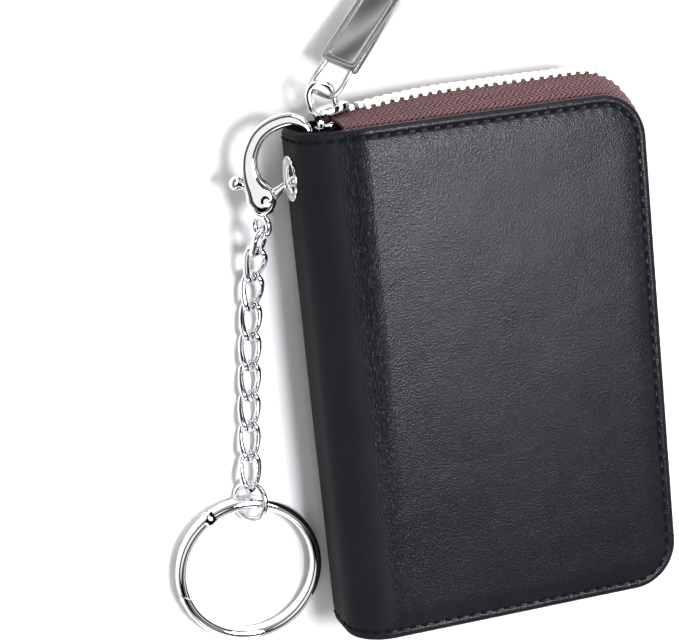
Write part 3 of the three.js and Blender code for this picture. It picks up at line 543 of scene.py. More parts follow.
def bent(run, y, height, front):
    if run <= COVER_RUN:
        x, z = RIGHT - run, THICKNESS + height
    elif run <= COVER_RUN + BEND_RUN:
        turn = (run - COVER_RUN) / FOLD_RADIUS
        reach = FOLD_RADIUS + height
        x = FOLD_X - reach * math.sin(turn)
        z = THICKNESS - FOLD_RADIUS + reach * math.cos(turn)
    else:
        x = FOLD_X - FOLD_RADIUS - height
        z = THICKNESS - FOLD_RADIUS - (run - COVER_RUN - BEND_RUN)
    return Vector((x, y, z if front else THICKNESS - z))


def shell_columns():
    count = round((SHELL_RUN - CORNER_RADIUS) / SHELL_STEP)
    return [CORNER_RADIUS + (SHELL_RUN - CORNER_RADIUS) * i / count for i in range(count + 1)]


def shell_rows():
    reach = HALF - CORNER_RADIUS
    count = round(2 * reach / SHELL_STEP)
    return [-reach + 2 * reach * j / count for j in range(count + 1)]


def edge_row(inset, columns, rows):
    """The points at one inset from the edge: along +Y, round the mouth and back along -Y."""
    radius = CORNER_RADIUS - inset
    reach = HALF - CORNER_RADIUS
    points = [(run, HALF - inset) for run in reversed(columns)]
    for i in range(1, CORNER_STEPS):
        turn = math.pi / 2 * i / CORNER_STEPS
        points.append((CORNER_RADIUS - radius * math.sin(turn), reach + radius * math.cos(turn)))
    points += [(inset, y) for y in reversed(rows)]
    for i in range(1, CORNER_STEPS):
        turn = math.pi / 2 * i / CORNER_STEPS
        points.append((CORNER_RADIUS - radius * math.cos(turn), -reach - radius * math.sin(turn)))
    return points + [(run, -HALF + inset) for run in columns]


def path_lengths(points):
    total, lengths = 0.0, [0.0]
    for a, b in zip(points, points[1:]):
        total += math.dist(a, b)
        lengths.append(total)
    return lengths


def shell_height(inset, along, run, y):
    """How far the outer face stands off the model's own, at a place on the flat leather."""
    height = CROWN_RISE * smooth_step((inset - STITCH_INSET - GROOVE_WIDTH) / CROWN_RUN)
    height *= 1 - smooth_step((run - COVER_RUN + CROWN_RUN) / (2 * CROWN_RUN))
    if inset < STITCH_INSET:
        height -= RIM_FALL * (1 - inset / STITCH_INSET)
    if inset < EDGE_ROUND:
        height -= EDGE_ROUND - math.sqrt(EDGE_ROUND**2 - (EDGE_ROUND - inset) ** 2)
    pull = 0.5 + 0.5 * math.cos(math.tau * along / STITCH_PITCH)
    groove = math.exp(-(((inset - STITCH_INSET) / GROOVE_WIDTH) ** 2))
    height -= GROOVE_DEPTH * groove * (1 - PULL_SHARE + PULL_SHARE * pull)
    pucker = math.exp(-(((inset - STITCH_INSET - 2 * GROOVE_WIDTH) / (1.5 * GROOVE_WIDTH)) ** 2))
    height -= GROOVE_DEPTH * PUCKER_SHARE * pucker * pull
    sway = noise.noise(Vector((run, y, 0)) * SWAY_SCALE)
    return height + CROWN_RISE * SWAY_SHARE * sway


SHELL_INSETS = [
    0, 0.00012, 0.0003, 0.00055, 0.0009, 0.0012, 0.0014, 0.0016, 0.0018, 0.002, 0.0022, 0.0024,
    0.0026, 0.0029, 0.0033, 0.0039, 0.0047, 0.0057, 0.007, 0.0085, CORNER_RADIUS,
]


def leather_shell(name, front):
    columns, rows = shell_columns(), shell_rows()
    seam = path_lengths(edge_row(STITCH_INSET, columns, rows))
    points, flat = [], []

    def place(run, y, height):
        points.append(bent(run, y, height, front))
        flat.append((run, y))
        return len(points) - 1

    def surface(inner):
        grid = {}
        for i, run in enumerate(columns):
            for j, y in enumerate(rows):
                inset = min(run, HALF - abs(y))
                height = -SHELL_THICKNESS if inner else shell_height(inset, 0, run, y)
                grid[i, j] = place(run, y, height)
        last_i, last_j = len(columns) - 1, len(rows) - 1
        core = [grid[i, last_j] for i in reversed(range(last_i + 1))]
        core += [grid[0, last_j]] * (CORNER_STEPS - 1)
        core += [grid[0, j] for j in reversed(range(last_j + 1))]
        core += [grid[0, 0]] * (CORNER_STEPS - 1)
        core += [grid[i, 0] for i in range(last_i + 1)]
        bands = [core]
        for inset in reversed(SHELL_INSETS[:-1]):
            band = []
            for k, (run, y) in enumerate(edge_row(inset, columns, rows)):
                deep = EDGE_DEPTH if inset < EDGE_LAP and run < COVER_RUN else SHELL_THICKNESS
                height = -deep if inner else shell_height(inset, seam[k], run, y)
                band.append(place(run, y, height))
            bands.append(band)
        faces = [
            (grid[i, j], grid[i + 1, j], grid[i + 1, j + 1], grid[i, j + 1])
            for i in range(last_i)
            for j in range(last_j)
        ]
        return grid, bands, faces

    outer_grid, outer_bands, faces = surface(False)
    inner_grid, inner_bands, inner_faces = surface(True)
    faces += inner_faces
    rows_of_bands = [*outer_bands, *reversed(inner_bands)]
    for a, b in zip(rows_of_bands, rows_of_bands[1:]):
        if a is outer_bands[0] and b is inner_bands[0]:
            continue
        for k in range(len(a) - 1):
            corner = [a[k], a[k + 1], b[k + 1], b[k]]
            kept = [v for n, v in enumerate(corner) if v != corner[n - 1]]
            if len(kept) > 2:
                faces.append(tuple(kept))
    last = len(columns) - 1
    rim = [outer_grid[last, j] for j in range(len(rows))]
    rim += [band[0] for band in outer_bands[1:]]
    rim += [band[0] for band in reversed(inner_bands[1:])]
    rim += [inner_grid[last, j] for j in reversed(range(len(rows)))]
    rim += [band[-1] for band in inner_bands[1:]]
    rim += [band[-1] for band in reversed(outer_bands[1:])]
    faces.append(tuple(rim))
    return turn_outward(make_piece(name, points, faces, leather, flat))


def stitching(name, front):
    """Short lengths of thread that dive into the leather at each end."""
    columns, rows = shell_columns(), shell_rows()
    path = edge_row(STITCH_INSET, columns, rows)
    lengths = path_lengths(path)
    ways = list(zip(*path))

    def spot(distance):
        return np.array([np.interp(distance, lengths, way) for way in ways])

    points, faces = [], []
    for n in range(int(lengths[-1] / STITCH_PITCH)):
        middle = (n + 0.5) * STITCH_PITCH
        first = len(points)
        for i in range(STITCH_STEPS + 1):
            share = 2 * i / STITCH_STEPS - 1
            distance = middle + share * STITCH_LENGTH / 2
            run, y = spot(distance)
            ahead = spot(distance + STITCH_NUDGE) - spot(distance - STITCH_NUDGE)
            size = math.hypot(*ahead) or 1
            side = (-ahead[1] / size, ahead[0] / size)
            radius = THREAD_RADIUS * math.sqrt(max(1 - abs(share) ** 3, 0.04))
            top = -GROOVE_DEPTH * STITCH_SEAT_SHARE - STITCH_SINK * share**4
            for turn in round_turns(THREAD_SIDES):
                out, up = radius * math.cos(turn), radius * math.sin(turn)
                points.append(bent(run + side[0] * out, y + side[1] * out, top + up, front))
        faces += [tuple(first + v for v in face) for face in loft_faces(STITCH_STEPS + 1, THREAD_SIDES)]
    return turn_outward(make_piece(name, points, faces, thread))


def fold_blend(piece):
    """Bakes the piece's placement into its mesh."""
    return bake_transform(piece)


def dress_leather():
    for side, front in (("front", True), ("back", False)):
        shell = cut_by(leather_shell(f"{side}_leather_shell", front), eyelet_cutter())
        seam = stitching(f"{side}_stitching", front)
        for piece in (shell, seam):
            fold_blend(piece)
        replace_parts(shell, f"{side}_cover_leather", "spine_leather")


# Zip


ZIP_START_X = FOLD_X + TAPE_END_SETBACK
ZIP_STRAIGHT = RIGHT - CORNER_RADIUS - ZIP_START_X
ZIP_ARC = math.pi / 2 * (CORNER_RADIUS + ZIP_RIDGE)
ZIP_TOTAL = 2 * (ZIP_STRAIGHT + ZIP_ARC) + 2 * (HALF - CORNER_RADIUS)
BEAD_END = MIDDLE + TOOTH_ENGAGEMENT - TOOTH_LENGTH


def zip_place(distance):
    """A point on the cover's edge, the way outwards, the ridge's reach and its slope there."""
    flip = -1 if distance > ZIP_TOTAL / 2 else 1
    along = ZIP_TOTAL - distance if flip < 0 else distance
    turn = min(max((along - ZIP_STRAIGHT) / ZIP_ARC, 0), 1) * math.pi / 2
    out = Vector((math.sin(turn), flip * math.cos(turn), 0))
    before = min(along - ZIP_STRAIGHT, 0)
    after = max(along - ZIP_STRAIGHT - ZIP_ARC, 0)
    x = RIGHT - CORNER_RADIUS + CORNER_RADIUS * out.x + before
    y = HALF - CORNER_RADIUS + CORNER_RADIUS * math.cos(turn) - after
    short = max(1 - along / ZIP_DIP_LENGTH, 0)
    limit = ZIP_RIDGE + (MOUTH_RIDGE - ZIP_RIDGE) * smooth_step((distance - ZIP_STRAIGHT) / ZIP_ARC)
    ridge = min(ZIP_RIDGE - ZIP_END_DIP * short * short, limit)
    slope = flip * math.atan(2 * ZIP_END_DIP * short / ZIP_DIP_LENGTH)
    return Vector((x, flip * y, 0)), out, ridge, slope


def tape_section(ridge):
    """(outwards, depth) of the points round the tape and its bead."""
    seam = EDGE_DEPTH + GLUE_GAP + TAPE_THICKNESS / 2
    bead = BEAD_END - BEAD_LENGTH
    ridge -= TAPE_DROP
    slope = math.atan2(bead - seam, ridge)
    middle = [(-TAPE_SEAM_WIDTH, seam, 0)]
    for i in range(TAPE_SLOPE_STEPS + 1):
        share = i / TAPE_SLOPE_STEPS
        bulge = TAPE_BULGE * math.sin(math.pi * share)
        outward = ridge * share + bulge * math.sin(slope)
        depth = seam + (bead - seam) * share - bulge * math.cos(slope)
        middle.append((outward, depth, slope))
    half = TAPE_THICKNESS / 2
    outer = [(o + math.sin(t) * half, d - math.cos(t) * half) for o, d, t in middle]
    inner = [(o - math.sin(t) * half, d + math.cos(t) * half) for o, d, t in middle]
    wide, deep = BEAD_THICKNESS / 2, BEAD_LENGTH / 2
    turns = [math.pi * i / BEAD_STEPS for i in range(BEAD_STEPS + 1)]
    round_bead = [(ridge + wide * math.cos(t), BEAD_END - deep + deep * math.sin(t)) for t in turns]
    return [*outer, *round_bead, *reversed(inner)]


def depth_point(edge, out, outward, depth, front):
    point = edge + out * outward
    point.z = THICKNESS - depth if front else depth
    return point


def zip_tape(name, front):
    count = round(ZIP_TOTAL / TAPE_STEP)
    rings, flat = [], []
    for i in range(count + 1):
        distance = ZIP_TOTAL * i / count
        edge, out, ridge, _ = zip_place(distance)
        section = tape_section(ridge)
        across = path_lengths(section)
        rings.append([depth_point(edge, out, o, d, front) for o, d in section])
        flat += [(distance, a) for a in across]
    tape = make_loft(name, rings, tape_cloth, flat=flat)
    return tape


def tooth_shape():
    """One tooth about its middle: a block with rounded edges."""
    work = bmesh.new()
    bmesh.ops.create_cube(work, size=1)
    size = Vector((TOOTH_WIDTH, TOOTH_THICKNESS, TOOTH_LENGTH + TOOTH_ROOT))
    for vertex in work.verts:
        vertex.co = Vector(a * b for a, b in zip(vertex.co, size))
    bmesh.ops.bevel(work, geom=list(work.edges), offset=TOOTH_BEVEL, segments=3, profile=0.6, affect="EDGES")
    points = [vertex.co.copy() for vertex in work.verts]
    faces = [tuple(vertex.index for vertex in face.verts) for face in work.faces]
    work.free()
    return points, faces


def zip_teeth(name, front):
    shape, shape_faces = tooth_shape()
    start = SLIDER_SETBACK - TAPE_END_SETBACK + SLIDER_LENGTH / 2 + FIRST_TOOTH_GAP
    count = math.floor((ZIP_TOTAL - 2 * start) / TOOTH_PITCH)
    points, faces = [], []
    for i in range(count):
        along = start + i * TOOTH_PITCH
        distance = ZIP_TOTAL - along - TOOTH_PITCH / 2 if front else along
        edge, out, ridge, slope = zip_place(distance)
        depth = BEAD_END - TOOTH_ROOT + (TOOTH_LENGTH + TOOTH_ROOT) / 2
        centre = depth_point(edge, out, ridge, depth, front)
        turn = Matrix.Rotation(math.atan2(out.y, out.x) - math.pi / 2 + slope, 3, "Z")
        first = len(points)
        points += [centre + turn @ point for point in shape]
        faces += [tuple(first + v for v in face) for face in shape_faces]
    return make_piece(name, points, faces, tooth_metal, sharp=TOOTH_SHARP_ANGLE)


def dress_zip():
    for side, front, body in (("front", True, "front_cover"), ("back", False, "wallet_base")):
        tape = zip_tape(f"{side}_zip_tape", front)
        teeth = zip_teeth(f"{side}_zip_teeth", front)
        for piece in (tape, teeth):
            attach(piece, body)
            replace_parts(piece, f"{side}_zip_stringer")


# Lining, slip pocket and accordion


def flat_sheet(name, low, high, material, corners=(0, 0, 0, 0), edge=LINING_ROUND):
    """A sheet in the XY plane with soft edges. corners are the radii at (-x-y, +x-y, +x+y, -x+y)."""
    centres = [(low.x, low.y), (high.x, low.y), (high.x, high.y), (low.x, high.y)]
    starts = [math.pi, 1.5 * math.pi, 0, 0.5 * math.pi]
    outline = []
    for (x, y), start, radius in zip(centres, starts, corners):
        sx, sy = (1 if x == low.x else -1), (1 if y == low.y else -1)
        for i in range(LINING_CORNER_STEPS + 1 if radius > 0 else 1):
            turn = start + math.pi / 2 * i / LINING_CORNER_STEPS
            out, up = radius * math.cos(turn), radius * math.sin(turn)
            outline.append((x + sx * radius + out, y + sy * radius + up))
    work = bmesh.new()
    bottom = [work.verts.new((x, y, low.z)) for x, y in outline]
    face = work.faces.new(bottom)
    made = bmesh.ops.extrude_face_region(work, geom=[face])
    for item in made["geom"]:
        if isinstance(item, bmesh.types.BMVert):
            item.co.z = high.z
    bmesh.ops.recalc_face_normals(work, faces=work.faces)
    rims = [e for e in work.edges if abs(e.verts[0].co.z - e.verts[1].co.z) < 1e-9]
    bmesh.ops.bevel(work, geom=rims, offset=edge, segments=3, profile=0.5, affect="EDGES")
    mesh = bpy.data.meshes.new(name)
    work.to_mesh(mesh)
    work.free()
    layer = mesh.uv_layers.new(name="flat")
    for corner in mesh.loops:
        spot = mesh.vertices[corner.vertex_index].co
        layer.data[corner.index].uv = (spot.x + spot.z, spot.y)
    return finish_piece(name, mesh, material, SHARP_ANGLE)


def dress_linings():
    radius = CORNER_RADIUS - LINING_INSET
    for side, body in (("front", "front_cover"), ("back", "wallet_base")):
        low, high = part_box(f"{side}_cover_lining")
        lining = flat_sheet(f"{side}_lining", low, high, twill, (0, radius, radius, 0))
        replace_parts(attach(lining, body), f"{side}_cover_lining")


def dress_spine_lining():
    """Two halves that meet at the middle of the spine, each bent round one fold."""
    low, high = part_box("spine_lining")
    outer = FOLD_X - low.x
    inner = outer - SPINE_LINING_THICKNESS
    offset = low.x - spine_low.x
    steps, count = SPINE_LINING_STEPS, SPINE_LINING_ROWS
    profile = []
    for radius, backwards in ((outer, False), (inner, True)):
        turns = [math.pi / 2 * i / steps for i in range(steps + 1)]
        way = [(FOLD_X - radius * math.sin(t), offset + outer - radius * math.cos(t)) for t in turns]
        way.append((FOLD_X - radius, MIDDLE))
        profile += list(reversed(way)) if backwards else way
    across = path_lengths(profile)
    half_length = across[steps + 1]
    for side, front in (("front", True), ("back", False)):
        rings, flat = [], []
        for i in range(count + 1):
            y = low.y + (high.y - low.y) * i / count
            rings.append([Vector((x, y, THICKNESS - z if front else z)) for x, z in profile])
            flat += [(y, 2 * half_length - a if front else a) for a in across]
        band = make_loft(f"{side}_spine_inner_lining", rings, twill, flat=flat)
        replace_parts(fold_blend(band), "spine_lining")


def dress_slip_pocket():
    low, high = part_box("slip_pocket")
    corners = (SLIP_POCKET_CORNER, 0, 0, SLIP_POCKET_CORNER)
    pocket = flat_sheet("slip_pocket_leather", low, high, leather, corners, SLIP_POCKET_ROUND)
    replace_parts(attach(pocket, "wallet_base"), "slip_pocket")


def leaf_name(k):
    if k == 0:
        return "pocket_end_back"
    return "pocket_end_front" if k == LAST_LEAF else f"pocket_leaf_{k:02d}"


def leaf_body(k):
    return "wallet_base" if k == 0 else f"pocket_{k:02d}"


def dress_accordion():
    """The leaves and, at both of their ends, the outward pleats that join them."""
    boxes = [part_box(leaf_name(k)) for k in range(LAST_LEAF + 1)]
    levels = [(below.z + above.z) / 2 for below, above in boxes]
    pitch = levels[2] - levels[1]
    levels[0] = levels[1] - pitch
    levels[LAST_LEAF] = levels[LAST_LEAF - 1] + pitch
    low, high = boxes[1]
    tip = high.y
    end = tip - PLEAT_DEPTH
    for k, level in enumerate(levels):
        half = (END_PANEL_THICKNESS if k in (0, LAST_LEAF) else LEAF_THICKNESS) / 2
        leaf = flat_sheet(
            f"leaf_{k:02d}", Vector((low.x, -end, level - half)), Vector((high.x, end, level + half)),
            twill, edge=LEAF_ROUND,
        )
        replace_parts(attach(leaf, leaf_body(k)), leaf_name(k))
    for k in range(LAST_LEAF):
        start, stop = (0, 0, levels[k]), (0, 0, levels[k + 1])
        for side, place in ((1, "slider"), (-1, "far")):
            name = f"pleat_{k + 1:02d}_{place}_end"
            gusset = pleat(name, side, low.x, high.x, end, tip, levels[k], levels[k + 1])
            leaf_body(k)
            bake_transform(gusset)
            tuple(start)
            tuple(stop)


def pleat(name, side, root, mouth, end, tip, below, above):
    """The folded cloth that closes one end of a pocket."""
    rise = (above - below) / 2
    middle = (above + below) / 2
    thin = PLEAT_THICKNESS / 2
    shape = []
    for i in range(2 * PLEAT_STEPS + 1):
        share = i / PLEAT_STEPS - 1
        out = end + (tip - end) * (1 - abs(share) ** PLEAT_SHARPNESS)
        shape.append((out, middle + rise * share))
    outer = [(o + thin, z) for o, z in shape]
    inner = [(o - thin, z) for o, z in reversed(shape)]
    section = [*outer, *inner]
    across = path_lengths(section)
    rings, flat = [], []
    for i in range(PLEAT_ROWS + 1):
        x = root + (mouth - root) * i / PLEAT_ROWS
        rings.append([Vector((x, side * o, z)) for o, z in section])
        flat += [(x, a) for a in across]
    gusset = make_loft(name, rings, twill, flat=flat)
    path_lengths(shape)[-1]
    return gusset


# Metal parts that keep the model's own shape, with their edges softened


def softened(node, name, material, body, width=METAL_ROUND):
    mesh = frame["nodes"][node].data.copy()
    mesh.name = name
    work = bmesh.new()
    work.from_mesh(mesh)
    bmesh.ops.remove_doubles(work, verts=work.verts, dist=1e-7)
    bmesh.ops.dissolve_limit(work, angle_limit=math.radians(1), verts=work.verts, edges=work.edges)
    crisp = [e for e in work.edges if e.is_manifold and e.calc_face_angle(0) > math.radians(CRISP_ANGLE)]
    bmesh.ops.bevel(
        work, geom=crisp, offset=width, segments=2, profile=0.5, affect="EDGES", clamp_overlap=True,
    )
    work.to_mesh(mesh)
    work.free()
    mesh.materials.clear()
    piece = finish_piece(name, mesh, material, METAL_SHARP_ANGLE)
    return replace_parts(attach(piece, body), node)


def cut_by(piece, cutter):
    """Takes the cutter's shape out of a piece for good and removes the cutter."""
    change = piece.modifiers.new("cut", "BOOLEAN")
    change.operation = "DIFFERENCE"
    change.solver = "FAST"
    change.object = cutter
    graph = bpy.context.evaluated_depsgraph_get()
    result = bpy.data.meshes.new_from_object(piece.evaluated_get(graph))
    piece.modifiers.clear()
    piece.data = result
    bpy.data.objects.remove(cutter)
    return piece


def prism(outline, low, high, place):
    """A plain solid between two heights over an outline, for cutting."""
    count = len(outline)
    points = [place(x, y, z) for z in (low, high) for x, y in outline]
    mesh = bpy.data.meshes.new("cutter")
    mesh.from_pydata([tuple(point) for point in points], [], loft_faces(2, count))
    cutter = turn_outward(bpy.data.objects.new("cutter", mesh))
    bpy.context.scene.collection.objects.link(cutter)
    return cutter


def eyelet_cutter():
    centre = joint_point("clasp_swing")
    radius = EYELET_PROFILE[0][0] + EYELET_WALL
    outline = [(radius * math.cos(turn), radius * math.sin(turn)) for turn in round_turns(CUT_SIDES)]

    def place(y, z, x):
        return Vector((spine_low.x + x, centre.y + y, MIDDLE + z))

    return prism(outline, -EYELET_CUT_REACH, EYELET_CUT_REACH, place)


def dress_eyelet():
    centre = Vector((spine_low.x, joint_point("clasp_swing").y, MIDDLE))
    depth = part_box("eyelet")[1].x - spine_low.x
    hole = EYELET_PROFILE[0][0]
    profile = [*EYELET_PROFILE, (hole + EYELET_WALL, -depth), (hole, -depth)]
    rings = []
    for turn in round_turns(EYELET_SIDES):
        ring = [(-out, radius * math.cos(turn), radius * math.sin(turn)) for radius, out in profile]
        rings.append([centre + Vector(point) for point in ring])
    rim = make_loft("eyelet_rim", rings, satin, closed_path=True)
    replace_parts(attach(rim, "spine"), "eyelet")


def clasp_frame():
    """A function that places a point drawn in the clasp's own plane."""
    origin = joint_point("clasp_swing")
    tilt = math.radians(CLASP_TILT)
    x = Vector((math.cos(tilt), 0, math.sin(tilt)))
    y = Vector((0, 1, 0))
    z = x.cross(y)
    return lambda a, b, c: origin + x * a + y * b + z * c


def eased(stations, count):
    """Points on a smooth line through all stations, spread evenly over its length."""
    table = np.array([stations[0], *stations, stations[-1]], dtype=float)
    dense = []
    for a, b, c, d in zip(table, table[1:], table[2:], table[3:]):
        for t in np.linspace(0, 1, CURVE_STEPS, endpoint=False):
            straight = 2 * b + (c - a) * t
            curved = (2 * a - 5 * b + 4 * c - d) * t**2 + (3 * b - a - 3 * c + d) * t**3
            dense.append((straight + curved) / 2)
    dense = np.array([*dense, table[-1]])
    steps = np.hypot(*np.diff(dense[:, :2], axis=0).T)
    lengths = np.concatenate([[0], np.cumsum(steps)])
    wanted = np.linspace(0, lengths[-1], count)
    return np.array([np.interp(wanted, lengths, column) for column in dense.T]).T, lengths[-1]


def rounded_bar(name, stations, count, place):
    """A bar along its stations in the clasp's plane, with a rounded section and rounded ends."""
    scale = np.array([CLASP_LENGTH, CLASP_LENGTH, 1, 1])
    path, total = eased(np.array(stations) * scale, count)
    rings = []
    for i, (x, y, wide, deep) in enumerate(path):
        before, after = path[max(i - 1, 0)], path[min(i + 1, len(path) - 1)]
        ahead = (after - before)[:2] / np.hypot(*(after - before)[:2])
        left = total * min(i, len(path) - 1 - i) / (len(path) - 1)
        close = math.sqrt(max(1 - (1 - min(left / wide, 1)) ** 2, 0.01))
        rings.append([
            place(x - ahead[1] * out * close, y + ahead[0] * out * close, up * close)
            for out, up in squared_oval(wide, deep)
        ])
    return make_loft(name, rings, chrome)


def dress_clasp():
    place = clasp_frame()
    body = rounded_bar("clasp_hook", CLASP_STATIONS, CLASP_ROWS, place)
    outline = [(x * CLASP_LENGTH, y * CLASP_LENGTH) for x, y in CLASP_SLOT_SHARES]
    cut_by(body, prism(outline, -CLASP_SLOT / 2, CLASP_SLOT / 2, place))
    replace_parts(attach(body, "clasp"), "clasp_body")
    gate = rounded_bar("clasp_gate_lever", GATE_STATIONS, GATE_ROWS, place)
    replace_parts(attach(gate, "gate"), "clasp_gate")
    turned = math.radians(-LINK_TWIST)
    origin = place(0, 0, 0)
    first = place(math.cos(turned), 0, -math.sin(turned)) - origin
    second = place(0, 1, 0) - origin
    centre = place(*(share * CLASP_LENGTH for share in CLASP_EYE_SHARES), 0)
    rings = round_loop(centre, first, second, CLASP_EYE_RADIUS, CLASP_EYE_WIRE, CLASP_EYE_STEPS)
    eye = make_loft("clasp_eye", rings, chrome, closed_path=True)
    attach(eye, "clasp")


def dress_metal():
    softened("zip_slider", "zip_slider_body", chrome, "slider")
    softened("pull_tab", "pull_tab_plate", nickel, "pull", PULL_TAB_ROUND)
    softened("zip_stop", "zip_end_stop", nickel, "wallet_base")


def cover_kept_nodes():
    """The model's own pieces that stay as they are get their materials."""
    kept = [(node, chrome) for node in ("eyelet_washer", "clasp_pin", "key_ring_pin")]
    kept += [(node, board) for node in ("front_cover_board", "back_cover_board")]
    for node, material in kept:
        slots = frame["nodes"][node].data.materials
        slots.clear()
        slots.append(material)


# Chain and key ring


def link_rings(pitch, width, wire, start_twist, end_twist, origin, basis):
    """Rings of points round the wire of one long link, twisted from one end to the other."""
    half_width = (width - wire) / 2
    half_length = (pitch + wire + LINK_PLAY) / 2
    straight = 2 * (half_length - half_width)
    bend = math.pi * half_width

    def centre(share):
        run = (share % 1) * 2 * (straight + bend)
        flip = -1 if run >= straight + bend else 1
        s = run - straight - bend if flip < 0 else run
        x, y = s - straight / 2, -half_width
        if s > straight:
            turn = (s - straight) / half_width
            x = straight / 2 + half_width * math.sin(turn)
            y = -half_width * math.cos(turn)
        x, y = x * flip, y * flip
        part = min(max(0.5 + x / pitch, 0), 1)
        twist = math.radians(start_twist + (end_twist - start_twist) * part)
        return Vector((x + pitch / 2, y * math.cos(twist), y * math.sin(twist)))

    rings = []
    middle = Vector((pitch / 2, 0, 0))
    for i in range(LOOP_STEPS):
        here = centre(i / LOOP_STEPS)
        ahead = (centre((i + 0.5) / LOOP_STEPS) - centre((i - 0.5) / LOOP_STEPS)).normalized()
        out = here - middle
        out = (out - ahead * out.dot(ahead)).normalized()
        up = ahead.cross(out)
        rings.append([
            origin + basis @ (here + (out * math.cos(turn) + up * math.sin(turn)) * wire / 2)
            for turn in round_turns(WIRE_SIDES)
        ])
    return rings


def aimed(direction):
    side = Vector((0, 0, 1)).cross(direction).normalized()
    up = direction.cross(side)
    return Matrix((direction, side, up)).transposed()


def dress_chain():
    numbers = range(1, LINK_COUNT + 1)
    names = ["oval_link", *[f"chain_link_{k}" for k in numbers]]
    bodies = ["oval_link", *[f"link_{k}" for k in numbers]]
    pivots = [joint_point(f"{body}_swing") for body in [*bodies, "jump_ring"]]
    for k, (node, body) in enumerate(zip(names, bodies)):
        step = pivots[k + 1] - pivots[k]
        width, wire = (OVAL_WIDTH, OVAL_WIRE) if k == 0 else (LINK_WIDTH, LINK_WIRE)
        twists = (-LINK_TWIST, -LINK_TWIST) if k == 0 else (LINK_TWIST, -LINK_TWIST)
        rings = link_rings(step.length, width, wire, *twists, pivots[k], aimed(step.normalized()))
        piece = make_loft(f"{node}_wire", rings, chrome, closed_path=True)
        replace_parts(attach(piece, body), node)


def dress_jump_ring():
    low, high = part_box("jump_ring")
    centre = (low + high) / 2
    along = joint_point("key_ring_swing") - joint_point("jump_ring_swing")
    along.z = 0
    along.normalize()
    side = Vector((0, 0, 1)).cross(along)
    tilt = math.radians(JUMP_TILT)
    second = side * math.cos(tilt) + Vector((0, 0, 1)) * math.sin(tilt)
    rings = round_loop(centre, along, second, JUMP_RADIUS, JUMP_WIRE, LOOP_STEPS)
    piece = make_loft("jump_ring_wire", rings, chrome, closed_path=True)
    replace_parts(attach(piece, "jump"), "jump_ring")


RING_MIDDLE = RING_RADIUS - RING_RADIAL / 2


def ring_basis():
    """The key ring's centre and its own X, Y and Z."""
    z = joint_axis("key_gate_spring")
    x = joint_axis("key_ring_swing")
    x = (x - z * x.dot(z)).normalized()
    y = z.cross(x)
    pivot = math.radians(RING_PIVOT)
    centre = joint_point("key_gate_spring") - (x * math.cos(pivot) + y * math.sin(pivot)) * RING_MIDDLE
    return centre, x, y, z


def arc_degrees(length):
    return math.degrees(length / RING_MIDDLE)


def squared_oval(half_out, half_up):
    """A section between an ellipse and a rectangle."""
    points = []
    for turn in round_turns(BAR_SIDES):
        out, up = math.cos(turn), math.sin(turn)
        points.append((
            half_out * math.copysign(abs(out) ** OVAL_POWER, out),
            half_up * math.copysign(abs(up) ** OVAL_POWER, up),
        ))
    return points


def ring_arc(start, stop, start_lean=0, stop_lean=0, section=None):
    """A section swept round the key ring between two angles. Its two end faces may lean."""
    centre, x, y, z = ring_basis()
    section = section or squared_oval(RING_RADIAL / 2, RING_AXIAL / 2)
    count = math.ceil((stop - start) / RING_STEP)
    rings = []
    for i in range(count + 1):
        share = i / count
        angle = start + (stop - start) * share
        lean = math.tan(math.radians(start_lean + (stop_lean - start_lean) * share))
        ring = []
        for out, up in section:
            turn = math.radians(angle - arc_degrees(out * lean))
            ring.append(centre + (x * math.cos(turn) + y * math.sin(turn)) * (RING_MIDDLE + out) + z * up)
        rings.append(ring)
    return rings


def dress_key_ring():
    stop = RING_PIVOT - arc_degrees(RING_RADIAL / 2 + RING_PLAY)
    start = RING_GATE_END + arc_degrees(RING_PLAY)
    body = make_loft("key_ring_arc", ring_arc(start, stop + 360, RING_SEAM, 0), chrome)
    tongue_half = RING_TONGUE / 2
    reach = RING_RADIAL / 2
    strip = [(reach, -tongue_half), (reach, tongue_half), (-reach, tongue_half), (-reach, -tongue_half)]
    tongue_arc = ring_arc(stop - arc_degrees(RING_PLAY), RING_PIVOT, section=strip)
    tongue = make_loft("key_ring_tongue", tongue_arc, chrome)
    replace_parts(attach(body, "key_ring"), "key_ring_body")
    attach(tongue, "key_ring")
    gate = make_loft("key_ring_gate_arc", ring_arc(RING_PIVOT, RING_GATE_END, 0, RING_SEAM), chrome)
    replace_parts(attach(gate, "key_gate"), "key_ring_gate")


# Stage, light and camera

# (height of the direction along a leaning axis, brightness) of the studio round the wallet: dark
# and bright rings for the metal to mirror
SKY_AXIS = (-0.35, 0, 0.94)
SKY_BANDS = [
    (0, 0.5), (0.08, 0.5), (0.13, 0), (0.38, 0), (0.42, 1.3), (0.53, 1.3), (0.57, 0), (0.72, 0), (0.75, 0.7),
    (0.78, 0), (0.9, 0), (0.93, 1), (1, 1),
]

# (name, place, point it shines at, width of its square, power, color)
LIGHTS = [
    ("key_light", (0.11, 0.04, 0.6), (0.02, 0.02, 0.02), 0.18, 5.5, (0.95, 0.96, 1)),
    ("side_light", (0.3, 0.65, 0.5), (0, 0, 0.01), 0.5, 3, (1, 1, 1)),
    ("fill_light", (-0.1, -0.75, 0.45), (0, 0, 0.01), 0.4, 1, (1, 1, 1)),
]


def build_stage():
    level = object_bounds()[0].z
    bpy.ops.mesh.primitive_plane_add(size=FLOOR_SIZE, location=(0, 0, level))
    floor = bpy.context.object
    floor.name = "floor"
    material, _ = new_material("pale_floor", color=(0.86, 0.86, 0.86), roughness=0.85)
    floor.data.materials.append(material)


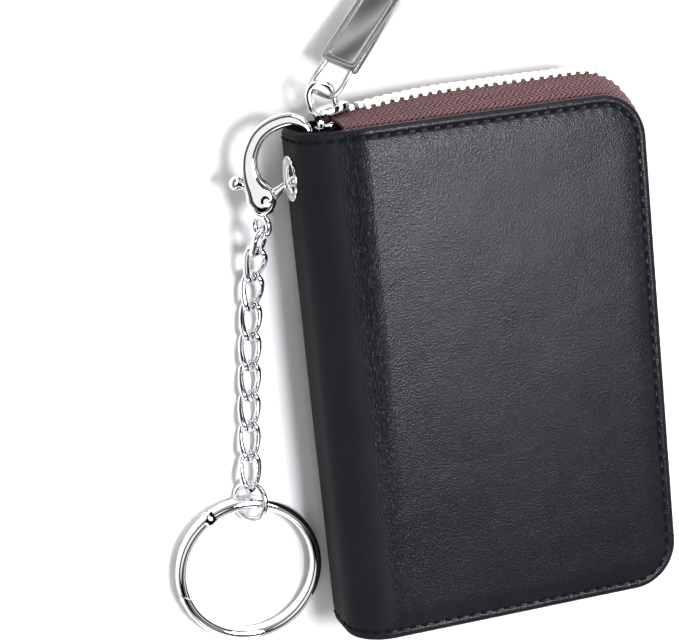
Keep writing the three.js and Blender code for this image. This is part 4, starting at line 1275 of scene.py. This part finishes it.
def add_light(name, location, target, size, power, color):
    data = bpy.data.lights.new(name, "AREA")
    data.shape = "RECTANGLE"
    data.size = size
    data.size_y = size
    data.energy = power
    data.color = color
    lamp = bpy.data.objects.new(name, data)
    lamp.location = location
    lamp.rotation_euler = (Vector(target) - Vector(location)).to_track_quat("-Z", "Y").to_euler()
    bpy.context.scene.collection.objects.link(lamp)


def build_lights():
    for light in LIGHTS:
        add_light(*light)
    bpy.context.scene.view_settings.view_transform = "Standard"
    world = bpy.data.worlds.new("studio")
    world.use_nodes = True
    bpy.context.scene.world = world
    nodes = world.node_tree.nodes
    links = world.node_tree.links
    sky = nodes["Background"]
    sky.inputs["Strength"].default_value = 1
    direction = nodes.new("ShaderNodeTexCoord")
    height = nodes.new("ShaderNodeVectorMath")
    height.operation = "DOT_PRODUCT"
    height.inputs[1].default_value = SKY_AXIS
    bands = nodes.new("ShaderNodeValToRGB")
    links.new(direction.outputs["Generated"], height.inputs[0])
    links.new(height.outputs["Value"], bands.inputs["Fac"])
    links.new(bands.outputs["Color"], sky.inputs["Color"])
    stops = bands.color_ramp.elements
    stops[0].position, stops[0].color = SKY_BANDS[0][0], (*[SKY_BANDS[0][1]] * 3, 1)
    stops[1].position, stops[1].color = SKY_BANDS[-1][0], (*[SKY_BANDS[-1][1]] * 3, 1)
    for position, level in SKY_BANDS[1:-1]:
        stops.new(position).color = (level, level, level, 1)


def build_camera():
    azimuth, elevation, roll = (math.radians(a) for a in (CAMERA_AZIMUTH, CAMERA_ELEVATION, CAMERA_ROLL))
    level_reach = math.cos(elevation)
    back = Vector((-math.sin(azimuth) * level_reach, math.sin(elevation), math.cos(azimuth) * level_reach))
    level_right = Vector((0, 1, 0)).cross(back).normalized()
    level_up = back.cross(level_right)
    right = math.cos(roll) * level_right + math.sin(roll) * level_up
    up = math.cos(roll) * level_up - math.sin(roll) * level_right
    data = bpy.data.cameras.new("camera")
    data.sensor_width = SENSOR
    data.lens = CAMERA_FOCUS / IMAGE_WIDTH * SENSOR
    data.clip_start = NEAREST
    camera = bpy.data.objects.new("camera", data)
    turned = Matrix((right, up, back)).transposed().to_4x4()
    camera.matrix_world = Matrix.Translation(Vector(CAMERA_TARGET) + back * CAMERA_DISTANCE) @ turned
    bpy.context.scene.collection.objects.link(camera)
    bpy.context.scene.camera = camera


build_camera()
dress_leather()
dress_zip()
dress_linings()
dress_spine_lining()
dress_slip_pocket()
dress_accordion()
dress_metal()
cover_kept_nodes()
dress_eyelet()
dress_clasp()
dress_chain()
dress_jump_ring()
dress_key_ring()
build_stage()
build_lights()
